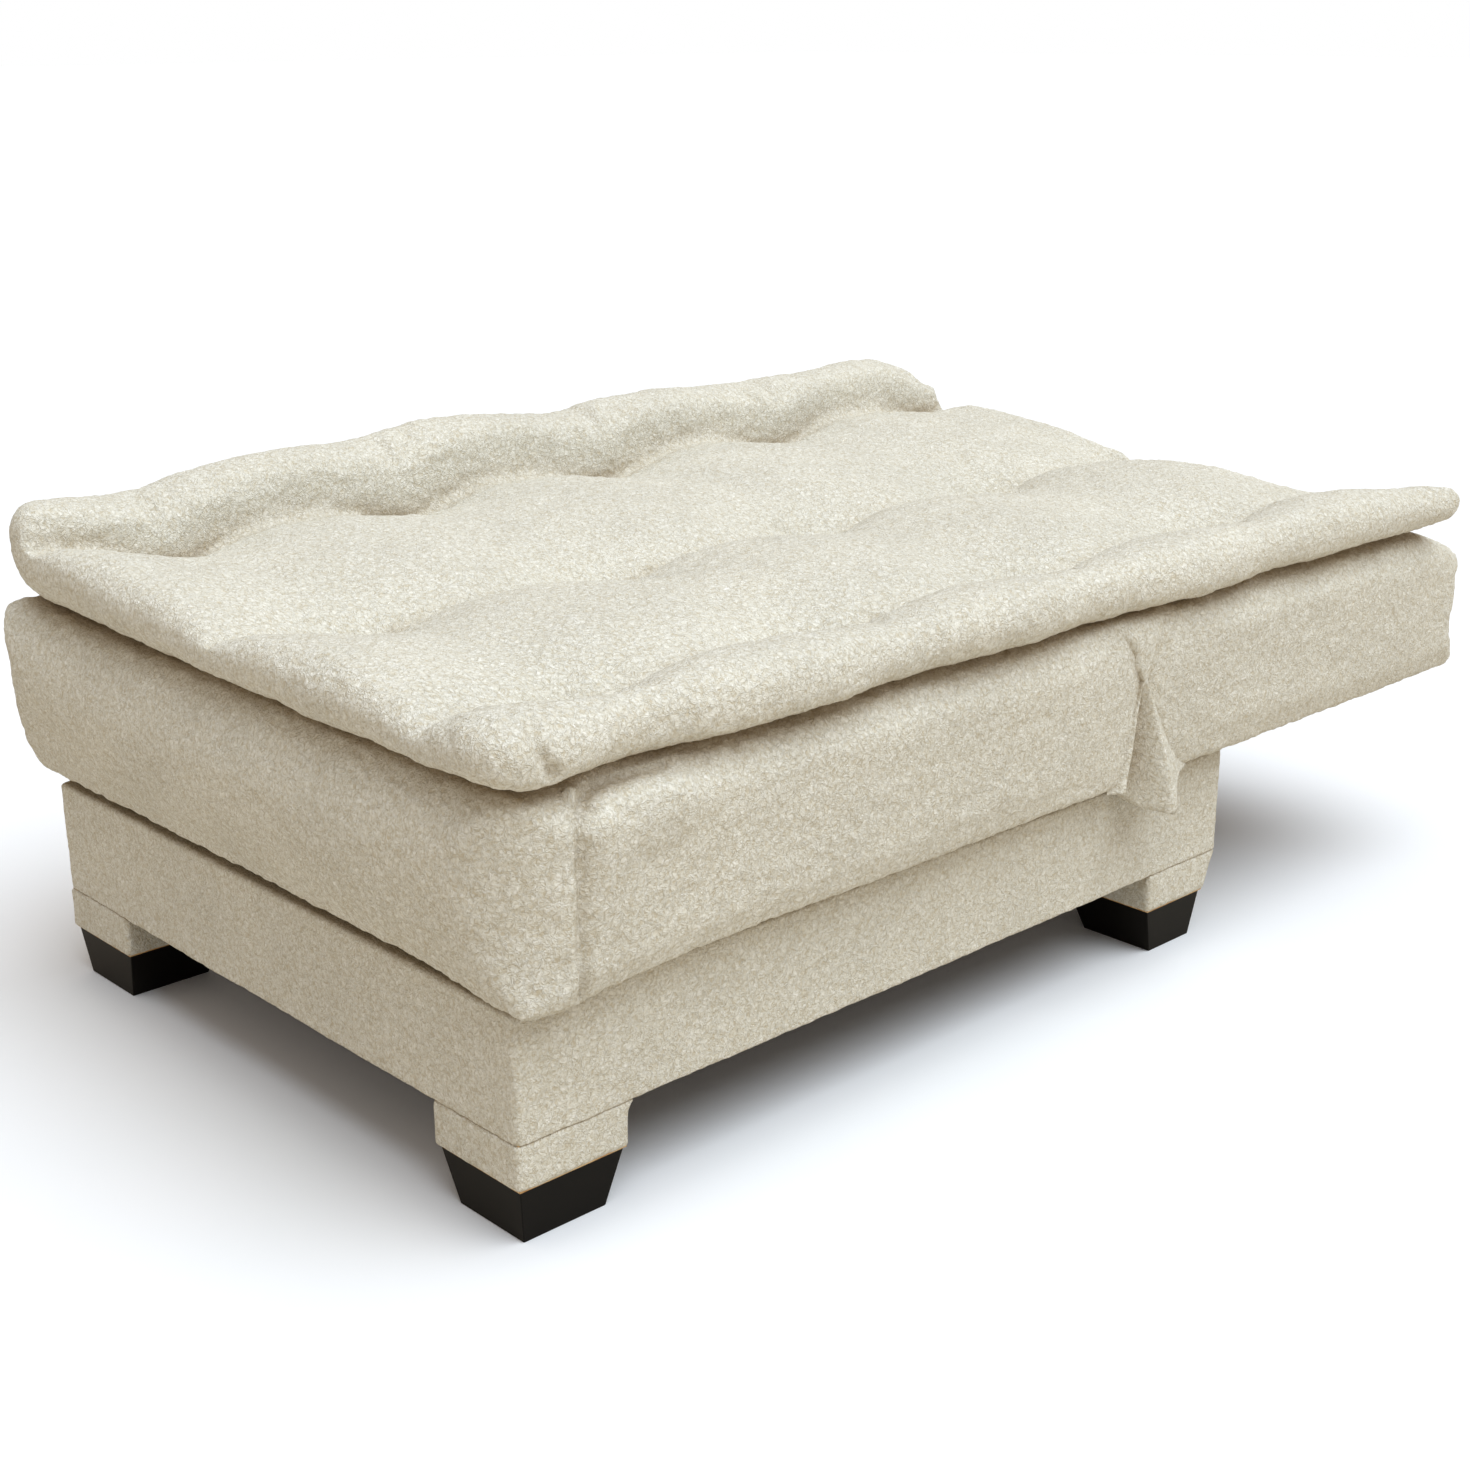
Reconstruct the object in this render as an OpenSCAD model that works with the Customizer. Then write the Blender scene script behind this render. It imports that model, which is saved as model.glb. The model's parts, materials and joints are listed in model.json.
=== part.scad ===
// Chair bed: a box base on four feet, a seat block that lifts on a rear pivot, a back block that reclines on
// a toothed hinge, and a quilted topper over both. Shown as a flat bed. X is across, the front faces -Y.

/* [Bed] */
// Length of the flat bed, from the topper's front lip to the end of the back
bed_l = 1763; // [1600:1:2000]
// Width of the base box over its fabric
base_w = 950; // [800:1:1300]
// Length of the base box over its fabric
base_l = 1190; // [1150:1:1300]
// Distance of the fold from the front of the base
fold_l = 950; // [900:1:980]
// How far the blocks hang over each long side of the base
side_over = 39; // [30:1:60]
// How far the front of the seat bulges over the base
front_over = 38; // [30:1:44]
// Height of the blocks' top over the floor, which the feet make up
deck_h = 500; // [480:1:560]
// Height of each upholstered leg block
leg_h = 55; // [40:1:75]
// Height of the base box
base_h = 144; // [140:1:165]
// Free height between the base and the blocks
buffer_h = 14; // [13:1:20]
// Height of the seat and back blocks
block_h = 222; // [210:1:240]

/* [Fabric, foam and timber] */
// Thickness of the lined cover fabric
fabric_t = 3; // [2:0.5:5]
// Thickness of the base rails
rail_t = 22; // [18:1:25]
// Thickness of the rails in the blocks
frame_t = 25; // [18:1:30]
// Height of the rails in the blocks
frame_h = 117; // [100:1:120]
// Padding between a block's rails and its cover
pad_t = 27; // [15:1:29]
// Width of the elastic straps
strap_w = 60; // [40:1:80]
// Thickness of the elastic straps
strap_t = 2; // [1:0.5:3]
// Thickness of the cloth that closes each underside
cloth_t = 1; // [0.5:0.1:2]

/* [Legs and feet] */
// Side of each square leg block
leg_w = 147; // [100:1:180]
// How far the rear face of a rear leg leans in
leg_lean = 22; // [0:1:30]
// Radius of the curve from a rail's lower edge into a leg
leg_fillet = 20; // [5:1:30]
// How far a foot's top stands in from its leg block
foot_inset = 5; // [1:1:12]
// How far a foot's outer faces taper in
foot_outer_taper = 8; // [2:1:20]
// How far a foot's inner faces taper in
foot_inner_taper = 20; // [5:1:30]
// Wall of the moulded feet
foot_wall = 4; // [3:0.5:6]

/* [Recliner] */
// Depth of the fold pivot below the top of the blocks
pivot_drop = 50; // [46:1:60]
// Largest angle of the back, from flat
recline_a = 78; // [60:1:85]
// Thickness of the steel arms
arm_t = 4; // [3:0.5:5]
// Gap between two arms, filled by a washer
washer_t = 1; // [0.5:0.1:2]
// Tip radius of the toothed sector
sector_r = 36; // [32:1:40]
// Depth of each tooth
tooth_h = 7; // [4:0.5:9]
// Number of teeth
teeth = 5; // [3:1:6]
// Radius of the pivot bolts
bolt_r = 6; // [5:0.5:8]
// Running clearance on a radius
run_c = 0.05; // [0.02:0.01:0.1]
// Radius of the arm bolts
small_bolt_r = 4; // [3:0.5:5]
// Distance of the base pivot from the rear of the base
base_pivot_in = 45; // [43:1:48]
// Distance of the base pivot below the top of the base
base_pivot_drop = 39; // [36:1:50]

/* [Topper] */
// Width of the quilted topper
topper_w = 1090; // [1040:1:1200]
// How far the topper's front lip stands out from the base
topper_lip = 45; // [41:1:80]
// How far the topper ends short of the back's end
topper_short = 100; // [60:1:160]
// Height of the puffs over the blocks
puff_h = 62; // [40:1:90]
// Height of the roll along the low long side
low_roll_h = 68; // [50:1:100]
// Height of the roll along the turned-up long side
high_roll_h = 156; // [90:1:170]
// Depth of a sewn line below the puffs
quilt_depth = 34; // [5:1:40]
// Distance of the outer sewn lines from the topper's edges
roll_w = 140; // [110:1:180]
// Distance between tuft rows
tuft_pitch = 355; // [300:1:420]
// Distance of the first tuft row from the base's front
tuft_first = 154; // [120:1:200]

/* [Hidden] */
$fn = 48;

// Colours of the real pieces
cream = "#d9d2c0";
pine = "#d8b98a";
steel = "#8c9096";
foam_yellow = "#ead9a0";
black = "#1b1b1d";

// Clearances and overruns
fit = 0.2;
soft_gap = 0.3;
cut = 1;

// Places along the bed, all from the topper's front lip
front_y = -bed_l / 2 + topper_lip;
rear_y = front_y + base_l;
fold_y = front_y + fold_l;
end_y = bed_l / 2;
// Heights
foot_h = deck_h - block_h - buffer_h - base_h - leg_h;
rail_z = foot_h + leg_h;
base_top = rail_z + base_h;
block_z = base_top + buffer_h;
block_top = block_z + block_h;
pivot_z = block_top - pivot_drop;
frame_z = block_z + fabric_t + fit;
deck_z = frame_z + frame_h;
foam_z = deck_z + 2 * strap_t;
// Places across the bed, as distances from its middle
base_half = base_w / 2;
block_half = base_half + side_over;
rail_out = base_half - fabric_t;
rail_in = rail_out - rail_t;
frame_out = block_half - fabric_t - pad_t;
frame_in = frame_out - frame_t;
bracket_t = arm_t;
seat_arm_out = rail_in - bracket_t - washer_t;
seat_arm_in = seat_arm_out - arm_t;
back_arm_out = seat_arm_in - washer_t;
back_arm_in = back_arm_out - arm_t;
head_t = 6;
head_lip = 5;
head_r = bolt_r + head_lip;
small_head_lip = 3;
small_head_r = small_bolt_r + small_head_lip;
slot_c = 4;
slot_in = back_arm_in - 2 * head_t;
slot_out = frame_in + slot_c;
// The fold: half the gap between the blocks, and the lean of each mitre
fold_gap = 1;
spare_a = 1;
mitre_a = recline_a / 2 + spare_a;
function mitre_y(z) = fold_gap + (z - pivot_z) * tan(mitre_a);

// Outline helpers
function arc(c, r, from, to, n = 8) =
    [for (i = [0 : n]) c + r * [cos(from + (to - from) * i / n), sin(from + (to - from) * i / n)]];
module across(half) rotate([90, 0, 90]) translate([0, 0, -half]) linear_extrude(2 * half) children();
module plate(from, to) rotate([90, 0, 90]) translate([0, 0, from]) linear_extrude(to - from) children();
module pin(at, from, to, r) translate([from, at[0], at[1]]) rotate([0, 90, 0]) cylinder(h = to - from, r = r);
module box(a, b) translate(a) cube(b - a);
module pair() {
    children();
    mirror([1, 0, 0]) children();
}

// Blocks: three outlines crossed, so that every edge is rounded. e moves each face inwards.
top_r = 60;
low_tuck = 28;
bulge_z = block_top - top_r;
low_r = (pow(bulge_z - block_z, 2) + low_tuck * low_tuck) / (2 * low_tuck);
heel_r = 60;
heel_a = 76;
heel_drop = 85;
toe_r = 16;
front_corner_r = 60;
end_corner_r = 20;
crest_r = 34;
hem_r = 8;
function fold_side(e, side) = let (k = 1 / cos(mitre_a), m = tan(mitre_a))
    [[fold_y + side * (fold_gap + e), block_z + e],
     [fold_y + side * (fold_gap + e), pivot_z + e * (1 - k) / m],
     [fold_y + side * (e * k + mitre_y(block_top - e)), block_top - e]];
module seat_outline(e) {
    y0 = front_y - front_over;
    low_a = asin((bulge_z - block_z - e) / (low_r - e));
    polygon(concat(fold_side(e, -1), arc([y0 + top_r, bulge_z], top_r - e, 90, 180),
        arc([y0 + low_r, bulge_z], low_r - e, 180, 180 + low_a, 6)));
}
module back_outline(e) {
    heel = [end_y - heel_r, block_top - heel_drop];
    shoulder = heel + (heel_r - e) * [cos(heel_a), sin(heel_a)];
    run = (block_top - e - shoulder[1]) * tan(heel_a);
    polygon(concat(fold_side(e, 1), [[shoulder[0] - run, block_top - e]],
        arc(heel, heel_r - e, heel_a, 0), arc([end_y - toe_r, block_z + toe_r], toe_r - e, 0, -90, 4)));
}
module plan_outline(y0, y1, r0, r1, e) {
    h = block_half - e;
    polygon(concat(arc([h - r1 + e, y1 - r1], r1 - e, 0, 90, 6),
        arc([-h + r1 - e, y1 - r1], r1 - e, 90, 180, 6),
        arc([-h + r0 - e, y0 + r0], r0 - e, 180, 270), arc([h - r0 + e, y0 + r0], r0 - e, 270, 360)));
}
module section_outline(e) {
    h = block_half - e;
    polygon(concat(arc([h - crest_r + e, block_top - crest_r], crest_r - e, 0, 90, 6),
        arc([-h + crest_r - e, block_top - crest_r], crest_r - e, 90, 180, 6),
        arc([-h + hem_r - e, block_z + hem_r], hem_r - e, 180, 270, 3),
        arc([h - hem_r + e, block_z + hem_r], hem_r - e, 270, 360, 3)));
}
module section_bar(e) translate([0, end_y + cut, 0]) rotate([90, 0, 0]) linear_extrude(bed_l + 2 * cut)
    section_outline(e);
module seat_shape(e) intersection() {
    across(block_half) seat_outline(e);
    translate([0, 0, block_z - cut]) linear_extrude(block_h + 2 * cut)
        plan_outline(front_y - front_over, fold_y + front_corner_r, front_corner_r, end_corner_r, e);
    section_bar(e);
}
module back_shape(e) intersection() {
    across(block_half) back_outline(e);
    translate([0, 0, block_z - cut]) linear_extrude(block_h + 2 * cut)
        plan_outline(fold_y - front_corner_r, end_y, front_corner_r, end_corner_r, e);
    section_bar(e);
}
module under(z) box([-bed_l, -bed_l, -cut], [bed_l, bed_l, z]);
// Room for the arms and pivots beside the fold
pocket_l = 105;
pocket_top = pivot_z + sector_r + slot_c;
module arm_pockets() pair()
    box([slot_in, fold_y - pocket_l, block_z - cut], [slot_out, fold_y + pocket_l, pocket_top]);
// Hem that is folded under a block and stapled to its rails
hem_in = frame_in - slot_c;

// Places of the pivots, bolts and screws, as [Y, Z]
fold_pivot = [fold_y, pivot_z];
base_pivot = [rear_y - base_pivot_in, base_top - base_pivot_drop];
bracket_reach = 42;
bracket_drop = 50;
tail_half = 15;
screw_r = 2.5;
screw_head_r = 5;
screw_head_t = 1.5;
screw_inset = 12;
bracket_holes = [for (k = [0, 1]) base_pivot
    + [(k - 1) * (bracket_reach - screw_inset), screw_inset - bracket_drop]];
arm_end = 260;
arm_edge = 12;
arm_start = 25;
arm_bolt_first = 110;
arm_bolt_pitch = 60;
arm_mid_z = frame_z + frame_h / 2;
seat_bolts = [for (k = [0 : 2]) [fold_y - arm_bolt_first - k * arm_bolt_pitch, arm_mid_z]];
back_bolts = [for (k = [0 : 2]) [fold_y + arm_bolt_first + k * arm_bolt_pitch, arm_mid_z]];
wood_bite = 18;

// Base
ease_r = 12;
module base_outline(e, low = 0) polygon(concat([[front_y + e, rail_z - low], [rear_y - e, rail_z - low]],
    arc([rear_y - ease_r, base_top - ease_r], ease_r - e, 0, 90, 6),
    arc([front_y + ease_r, base_top - ease_r], ease_r - e, 90, 180, 6)));
module base_side_rails() color(pine) pair() difference() {
    plate(rail_in, rail_out) base_outline(fabric_t);
    pin(base_pivot, rail_in - cut, rail_in + wood_bite, bolt_r + run_c);
    for (p = bracket_holes) pin(p, rail_in - cut, rail_in + wood_bite, screw_r + run_c);
}
module base_end_rails() color(pine) intersection() {
    across(rail_in) base_outline(fabric_t);
    union() {
        box([-rail_in, front_y, rail_z], [rail_in, front_y + fabric_t + rail_t, base_top]);
        box([-rail_in, rear_y - fabric_t - rail_t, rail_z], [rail_in, rear_y, base_top]);
    }
}
corner_w = 50;
corner_h = 48;
inside_front = front_y + fabric_t + rail_t;
inside_rear = rear_y - fabric_t - rail_t;
floor_z = rail_z + cloth_t;
module base_corner_blocks() color(pine) pair() for (y = [inside_front, inside_rear - corner_w])
    box([rail_in - corner_w, y, floor_z], [rail_in, y + corner_w, floor_z + corner_h]);
slat_w = 70;
slat_t = 18;
slats = 3;
slat_room = inside_rear - inside_front - 2 * corner_w;
module base_slats() color(pine) for (i = [1 : slats]) {
    y = inside_front + corner_w + slat_room * i / (slats + 1) - slat_w / 2;
    box([-rail_in, y, floor_z], [rail_in, y + slat_w, floor_z + slat_t]);
}
module base_dust_cover() color(black)
    box([-rail_in, inside_front, rail_z], [rail_in, inside_rear, floor_z]);
// Fabric panels, each wrapped over its rail, with the top edges eased so that the blocks clear them
module base_panels() color(cream) {
    pair() difference() {
        plate(rail_in, base_half) base_outline(0);
        plate(rail_in - cut, rail_out) base_outline(fabric_t, cut);
    }
    difference() {
        across(rail_in - fit) base_outline(0);
        across(rail_in + cut) base_outline(fabric_t, cut);
        box([-rail_in - cut, inside_front, rail_z], [rail_in + cut, inside_rear, base_top + cut]);
    }
}

// Legs: a timber core in a fabric wrap. s is 1 for a front leg and -1 for a rear one.
leg_y = [front_y, rear_y];
function leg_points(k, e, over = 0) = let (s = 1 - 2 * k, lean = k * leg_lean / leg_h, y = leg_y[k])
    [[y + s * (leg_w - e), foot_h - over], [y + s * (leg_w - e), rail_z + over],
     [y + s * e + lean * over, rail_z + over], [y + s * e - lean * (leg_h + over), foot_h - over]];
module leg_cores() color(pine) pair() for (k = [0, 1]) difference() {
    plate(base_half - leg_w + fabric_t, rail_out) polygon(leg_points(k, fabric_t));
    translate([foot_x, foot_mid(k), foot_h - cut])
        cylinder(h = foot_screw_l + 2 * cut, r = foot_screw_r + run_c);
}
module leg_covers() color(cream) pair() for (k = [0, 1]) {
    difference() {
        plate(base_half - leg_w, base_half) polygon(leg_points(k, 0));
        plate(base_half - leg_w + fabric_t, rail_out) polygon(leg_points(k, fabric_t, cut));
    }
    if (k == 0) plate(rail_out, base_half) polygon(concat([[front_y + leg_w, rail_z]],
        arc([front_y + leg_w + leg_fillet, rail_z - leg_fillet], leg_fillet, 90, 180, 6)));
}

// Moulded feet: tapered cups with cross ribs and a screw boss, open below
foot_top_in = leg_w - foot_inset;
foot_screw_r = 3;
foot_screw_l = 45;
foot_head_r = 7;
foot_head_t = 4;
boss_r = 12;
rib_t = 3;
foot_x = base_half - leg_w / 2;
function foot_mid(k) = leg_y[k] + (1 - 2 * k) * (leg_w / 2 + k * leg_lean / 2);
function taper(a, b, ta, tb, e, over) = let (ka = ta / foot_h, kb = tb / foot_h, h = foot_h - e)
    [[a + e + ta + ka * over, -over], [b - e - tb - kb * over, -over],
     [b - e - kb * e, h], [a + e + ka * e, h]];
module foot_shape(k, e, over = 0) intersection() {
    translate([0, bed_l, 0]) rotate([90, 0, 0]) linear_extrude(2 * bed_l)
        polygon(taper(base_half - foot_top_in, base_half - foot_inset,
            foot_inner_taper, foot_outer_taper, e, over));
    plate(base_half - leg_w, base_half) polygon(k == 0
        ? taper(front_y + foot_inset, front_y + foot_top_in, foot_outer_taper, foot_inner_taper, e, over)
        : taper(rear_y - foot_top_in, rear_y - leg_lean - foot_inset,
            foot_inner_taper, foot_outer_taper, e, over));
}
module feet() color(black) pair() for (k = [0, 1]) difference() {
    union() {
        difference() {
            foot_shape(k, 0);
            foot_shape(k, foot_wall, cut);
        }
        intersection() {
            foot_shape(k, foot_wall / 2);
            translate([0, 0, foot_wall]) union() {
                box([0, foot_mid(k) - rib_t / 2, 0], [base_half, foot_mid(k) + rib_t / 2, foot_h]);
                box([foot_x - rib_t / 2, -bed_l, 0], [foot_x + rib_t / 2, bed_l, foot_h]);
                translate([foot_x, foot_mid(k), 0]) cylinder(h = foot_h, r = boss_r);
            }
        }
    }
    translate([foot_x, foot_mid(k), -cut]) cylinder(h = foot_h + 2 * cut, r = foot_screw_r + fit);
    translate([foot_x, foot_mid(k), -cut])
        cylinder(h = foot_h - foot_wall + cut, r = foot_head_r + fit);
}
module foot_screws() color(steel) pair() for (k = [0, 1])
    translate([foot_x, foot_mid(k), foot_h - foot_wall]) {
        cylinder(h = foot_screw_l + foot_wall, r = foot_screw_r);
        translate([0, 0, -foot_head_t]) cylinder(h = foot_head_t, r = foot_head_r);
    }
buffer_l = 60;
buffer_edge = 3;
buffer_shares = [0.12, 0.42, 0.72];
module seat_buffers() color(black) pair() for (q = buffer_shares)
    box([rail_in + buffer_edge, front_y + base_l * q, base_top],
        [rail_out - buffer_edge, front_y + base_l * q + buffer_l, block_z - fit]);

// Pivots on the base
module pivot_brackets() color(steel) pair() difference() {
    plate(rail_in - bracket_t, rail_in) polygon([base_pivot + [-bracket_reach, -bracket_drop],
        base_pivot + [tail_half, -bracket_drop], base_pivot + [tail_half, tail_half],
        base_pivot + [-tail_half, tail_half], base_pivot + [-bracket_reach, screw_inset - tail_half]]);
    pin(base_pivot, 0, base_half, bolt_r + run_c);
    for (p = bracket_holes) {
        pin(p, 0, base_half, screw_r + run_c);
        pin(p, 0, rail_in - bracket_t + screw_head_t, screw_head_r + run_c);
    }
}
module bracket_screws() color(steel) pair() for (p = bracket_holes) {
    pin(p, rail_in - bracket_t, rail_in - bracket_t + screw_head_t, screw_head_r);
    pin(p, rail_in - bracket_t, rail_in + wood_bite - fit, screw_r);
}
module base_pivot_bolts() color(steel) pair() {
    pin(base_pivot, seat_arm_in - head_t, seat_arm_in - run_c, head_r);
    pin(base_pivot, seat_arm_in - head_t, rail_in + wood_bite - fit, bolt_r);
}
module ring(at, from, to, r) difference() {
    pin(at, from, to, r);
    pin(at, from - cut, to + cut, bolt_r + run_c);
}
module base_pivot_washers() color(steel) pair()
    ring(base_pivot, seat_arm_out + run_c, rail_in - bracket_t, head_r);

// Seat block
frame_front_in = 20;
frame_end_in = 36;
frame_front = front_y + frame_front_in;
frame_end = end_y - frame_end_in;
module rail(y0, y1, holes) difference() {
    box([frame_in, y0, frame_z], [frame_out, y1, deck_z]);
    for (p = holes) pin(p, frame_in - cut, frame_in + wood_bite, small_bolt_r + run_c);
}
module packer(y0, y1, from, holes) difference() {
    box([from, y0, frame_z + arm_edge / 2], [frame_in, y1, deck_z - arm_edge / 2]);
    for (p = holes) pin(p, 0, base_half, small_bolt_r + run_c);
}
module arm_bolts(holes, inner) for (p = holes) {
    pin(p, inner - head_t, inner, small_head_r);
    pin(p, inner - head_t, frame_in + wood_bite - fit, small_bolt_r);
}
module seat_side_rails() color(pine) pair() rail(frame_front, fold_y - arm_start, seat_bolts);
cross_low = 72;
module seat_cross_rails() color(pine) {
    box([-frame_in, frame_front, frame_z], [frame_in, frame_front + frame_t, deck_z]);
    box([-seat_arm_in, fold_y - arm_start - frame_t, frame_z],
        [seat_arm_in, fold_y - arm_start, frame_z + cross_low]);
    box([-slot_in, fold_y - arm_start - frame_t, frame_z], [slot_in, fold_y - arm_start, deck_z]);
}
straps_across = 6;
straps_along = 5;
strap_shares = [for (i = [1 : straps_along]) i / (straps_along + 1)];
module webbing(y0, y1, n, pull) {
    for (i = [0 : n - 1]) {
        y = y0 + frame_t + (y1 - y0 - 2 * frame_t - pull - strap_w) * i / (n - 1);
        box([-frame_out + fit, y, deck_z], [frame_out - fit, y + strap_w, deck_z + strap_t]);
    }
    for (q = strap_shares) {
        x = -slot_in + (2 * slot_in - strap_w) * q;
        difference() {
            box([x, y0, deck_z], [x + strap_w, y1, foam_z]);
            box([x - cut, y0 + frame_t, deck_z - cut], [x + strap_w + cut, y1 - frame_t, deck_z + strap_t]);
        }
    }
}
module seat_webbing() color(black)
    webbing(frame_front, fold_y - arm_start, straps_across, pocket_l - frame_t);
module seat_foam() color(foam_yellow) difference() {
    seat_shape(fabric_t + fit);
    under(foam_z);
    arm_pockets();
}
module seat_edge_padding() color(foam_yellow) difference() {
    seat_shape(fabric_t + fit);
    box([-frame_out, frame_front, -cut], [frame_out, fold_y + cut, block_top]);
    box([-bed_l, -bed_l, foam_z], [bed_l, bed_l, block_top + cut]);
}
hem = 16;
module seat_cover() color(cream) difference() {
    seat_shape(0);
    seat_shape(fabric_t);
    box([-hem_in, frame_front + hem, -cut], [hem_in, fold_y - 2 * hem, frame_z]);
    arm_pockets();
}
module seat_underside_cloth() color(black)
    box([-slot_in, frame_front + hem + fit, frame_z - cloth_t], [slot_in, fold_y - 2 * hem - fit, frame_z]);
module seat_hinge_packers() color(pine) pair()
    packer(fold_y - arm_end, fold_y - arm_start, seat_arm_out, seat_bolts);

// Recliner: arms, bolts, toothed sector, pawls and their springs
eye_r = 30;
neck_w = 76;
tail_front = 160;
tail_rear = 70;
tail_clear = 12;
tail_top = base_top - tail_clear;
tail_low_a = 20;
neck_a = 35;
arm_low = frame_z + arm_edge;
arm_high = deck_z - arm_edge;
module seat_arms() color(steel) pair() difference() {
    plate(seat_arm_in, seat_arm_out) {
        translate(fold_pivot) circle(eye_r);
        polygon([[fold_y - arm_end, arm_low + arm_edge], [fold_y - arm_end + arm_edge, arm_low],
            [fold_y - tail_front, arm_low], [fold_y - tail_front, base_pivot[1] + tail_half],
            [fold_y - tail_front + tail_half * 2, base_pivot[1] - tail_half],
            [base_pivot[0], base_pivot[1] - tail_half], [base_pivot[0], base_pivot[1] + tail_half],
            [base_pivot[0] - tail_rear, tail_top], [fold_y - tail_rear, tail_top],
            [fold_y - tail_rear, arm_low], [fold_y - arm_start - arm_edge, arm_low],
            [fold_y - arm_start, arm_low + arm_edge], [fold_y - arm_start / 2, arm_high],
            [fold_y + eye_r * cos(tail_low_a), pivot_z - eye_r * sin(tail_low_a)], [fold_y, pivot_z],
            [fold_y - eye_r * cos(neck_a), pivot_z + eye_r * sin(neck_a)], [fold_y - neck_w, arm_high],
            [fold_y - arm_end + arm_edge, arm_high], [fold_y - arm_end, arm_high - arm_edge]]);
        translate(base_pivot) circle(tail_half);
    }
    pin(fold_pivot, 0, base_half, bolt_r + run_c);
    pin(base_pivot, 0, base_half, bolt_r + run_c);
    pin(pawl_pivot, 0, base_half, small_bolt_r + run_c);
    pin(spring_foot, 0, base_half, screw_r + run_c);
    for (p = seat_bolts) pin(p, 0, base_half, small_bolt_r + run_c);
}
module seat_arm_bolts() color(steel) pair() arm_bolts(seat_bolts, seat_arm_in);
module fold_pivot_bolts() color(steel) pair() {
    pin(fold_pivot, seat_arm_out, seat_arm_out + head_t, head_r);
    pin(fold_pivot, back_arm_in - head_t, seat_arm_out + head_t, bolt_r);
}
module fold_pivot_nuts() color(steel) pair() difference() {
    translate([back_arm_in - head_t, fold_pivot[0], fold_pivot[1]]) rotate([0, 90, 0])
        cylinder(h = head_t - run_c, r = head_r, $fn = 6);
    pin(fold_pivot, 0, base_half, bolt_r + run_c);
}
module fold_washers() color(steel) pair() ring(fold_pivot, back_arm_out + run_c, seat_arm_in, 2 * bolt_r);

// The pawl lies under the sector and props it, so the back can rise but not fall
pawl_l = 75;
pawl_tip = 4;
pawl_h = 9;
pawl_eye_r = 9;
pawl_top = pivot_z - sector_r - soft_gap;
pawl_eye_share = 0.8;
pawl_nose_share = 0.6;
pawl_pivot = [fold_y - pawl_l, pawl_top - pawl_h * pawl_eye_share];
pawl_a = atan2(-sector_r, -pawl_tip);
notch_a = 11;
spring_back = 100;
spring_low = 78;
spring_foot = [fold_y - spring_back, pivot_z - spring_low];
spring_t = 1.5;
module pawl() color(steel) difference() {
    union() {
        pin(pawl_pivot, back_arm_in, back_arm_out, pawl_eye_r);
        plate(back_arm_in, back_arm_out) polygon([pawl_pivot + [-pawl_eye_r / 2, 0],
            [pawl_pivot[0], pawl_top], [fold_y - pawl_tip, pawl_top],
            [fold_y - pawl_tip, pawl_top - pawl_h * pawl_nose_share],
            [fold_y - pawl_tip - pawl_h, pawl_top - pawl_h],
            [pawl_pivot[0], pawl_pivot[1] - pawl_eye_r * pawl_eye_share]]);
    }
    pin(pawl_pivot, 0, base_half, small_bolt_r + run_c);
}
module pawl_right() pawl();
module pawl_left() mirror([1, 0, 0]) pawl();
module pawl_pins() color(steel) pair() {
    pin(pawl_pivot, back_arm_in - washer_t * 2, back_arm_in - run_c, small_head_r);
    pin(pawl_pivot, back_arm_in - washer_t * 2, seat_arm_out, small_bolt_r);
    pin(pawl_pivot, back_arm_out + run_c, seat_arm_in, small_head_r);
}
// A leaf spring riveted to the seat arm, whose free end bears on the pawl from below
module pawl_spring() color(steel) {
    plate(back_arm_in, back_arm_out) {
        translate(spring_foot) circle(2 * screw_r);
        polygon([spring_foot, spring_foot + [0, -spring_t],
            [fold_y - pawl_l / 2, pawl_top - pawl_h - 3 * spring_t],
            [fold_y - pawl_l / 4, pawl_top - pawl_h - 2 * spring_t],
            [fold_y - pawl_l / 4, pawl_top - pawl_h - spring_t],
            [fold_y - pawl_l / 2, pawl_top - pawl_h - 2 * spring_t]]);
    }
    pin(spring_foot, back_arm_in, seat_arm_out, screw_r);
}
module pawl_spring_right() pawl_spring();
module pawl_spring_left() mirror([1, 0, 0]) pawl_spring();

arm_low_a = 280;
arm_high_a = 45;
function polar(r, a) = fold_pivot + r * [cos(a), sin(a)];
module back_arms() color(steel) pair() difference() {
    plate(back_arm_in, back_arm_out) difference() {
        union() {
            translate(fold_pivot) circle(sector_r);
            polygon([fold_pivot, polar(sector_r, arm_low_a),
                [fold_y + arm_start + frame_t, arm_high - arm_edge],
                [fold_y + arm_start + frame_t, arm_low], [fold_y + arm_end - arm_edge, arm_low],
                [fold_y + arm_end, arm_low + arm_edge], [fold_y + arm_end, arm_high - arm_edge],
                [fold_y + arm_end - arm_edge, arm_high], [fold_y + neck_w, arm_high],
                polar(sector_r, arm_high_a)]);
        }
        for (i = [1 : teeth]) let (a = pawl_a + 360 - i * recline_a / teeth)
            polygon([polar(sector_r - tooth_h, a), polar(sector_r + cut, a),
                polar(sector_r + cut, a - notch_a / 2), polar(sector_r, a - notch_a)]);
    }
    pin(fold_pivot, 0, base_half, bolt_r + run_c);
    for (p = back_bolts) pin(p, 0, base_half, small_bolt_r + run_c);
}
module back_arm_bolts() color(steel) pair() arm_bolts(back_bolts, back_arm_in);
tube_r = 11;
tube_t = 2;
tube_back = 80;
tube_lift = 32;
tube_at = [fold_y + tube_back, frame_z + tube_lift];
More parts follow.
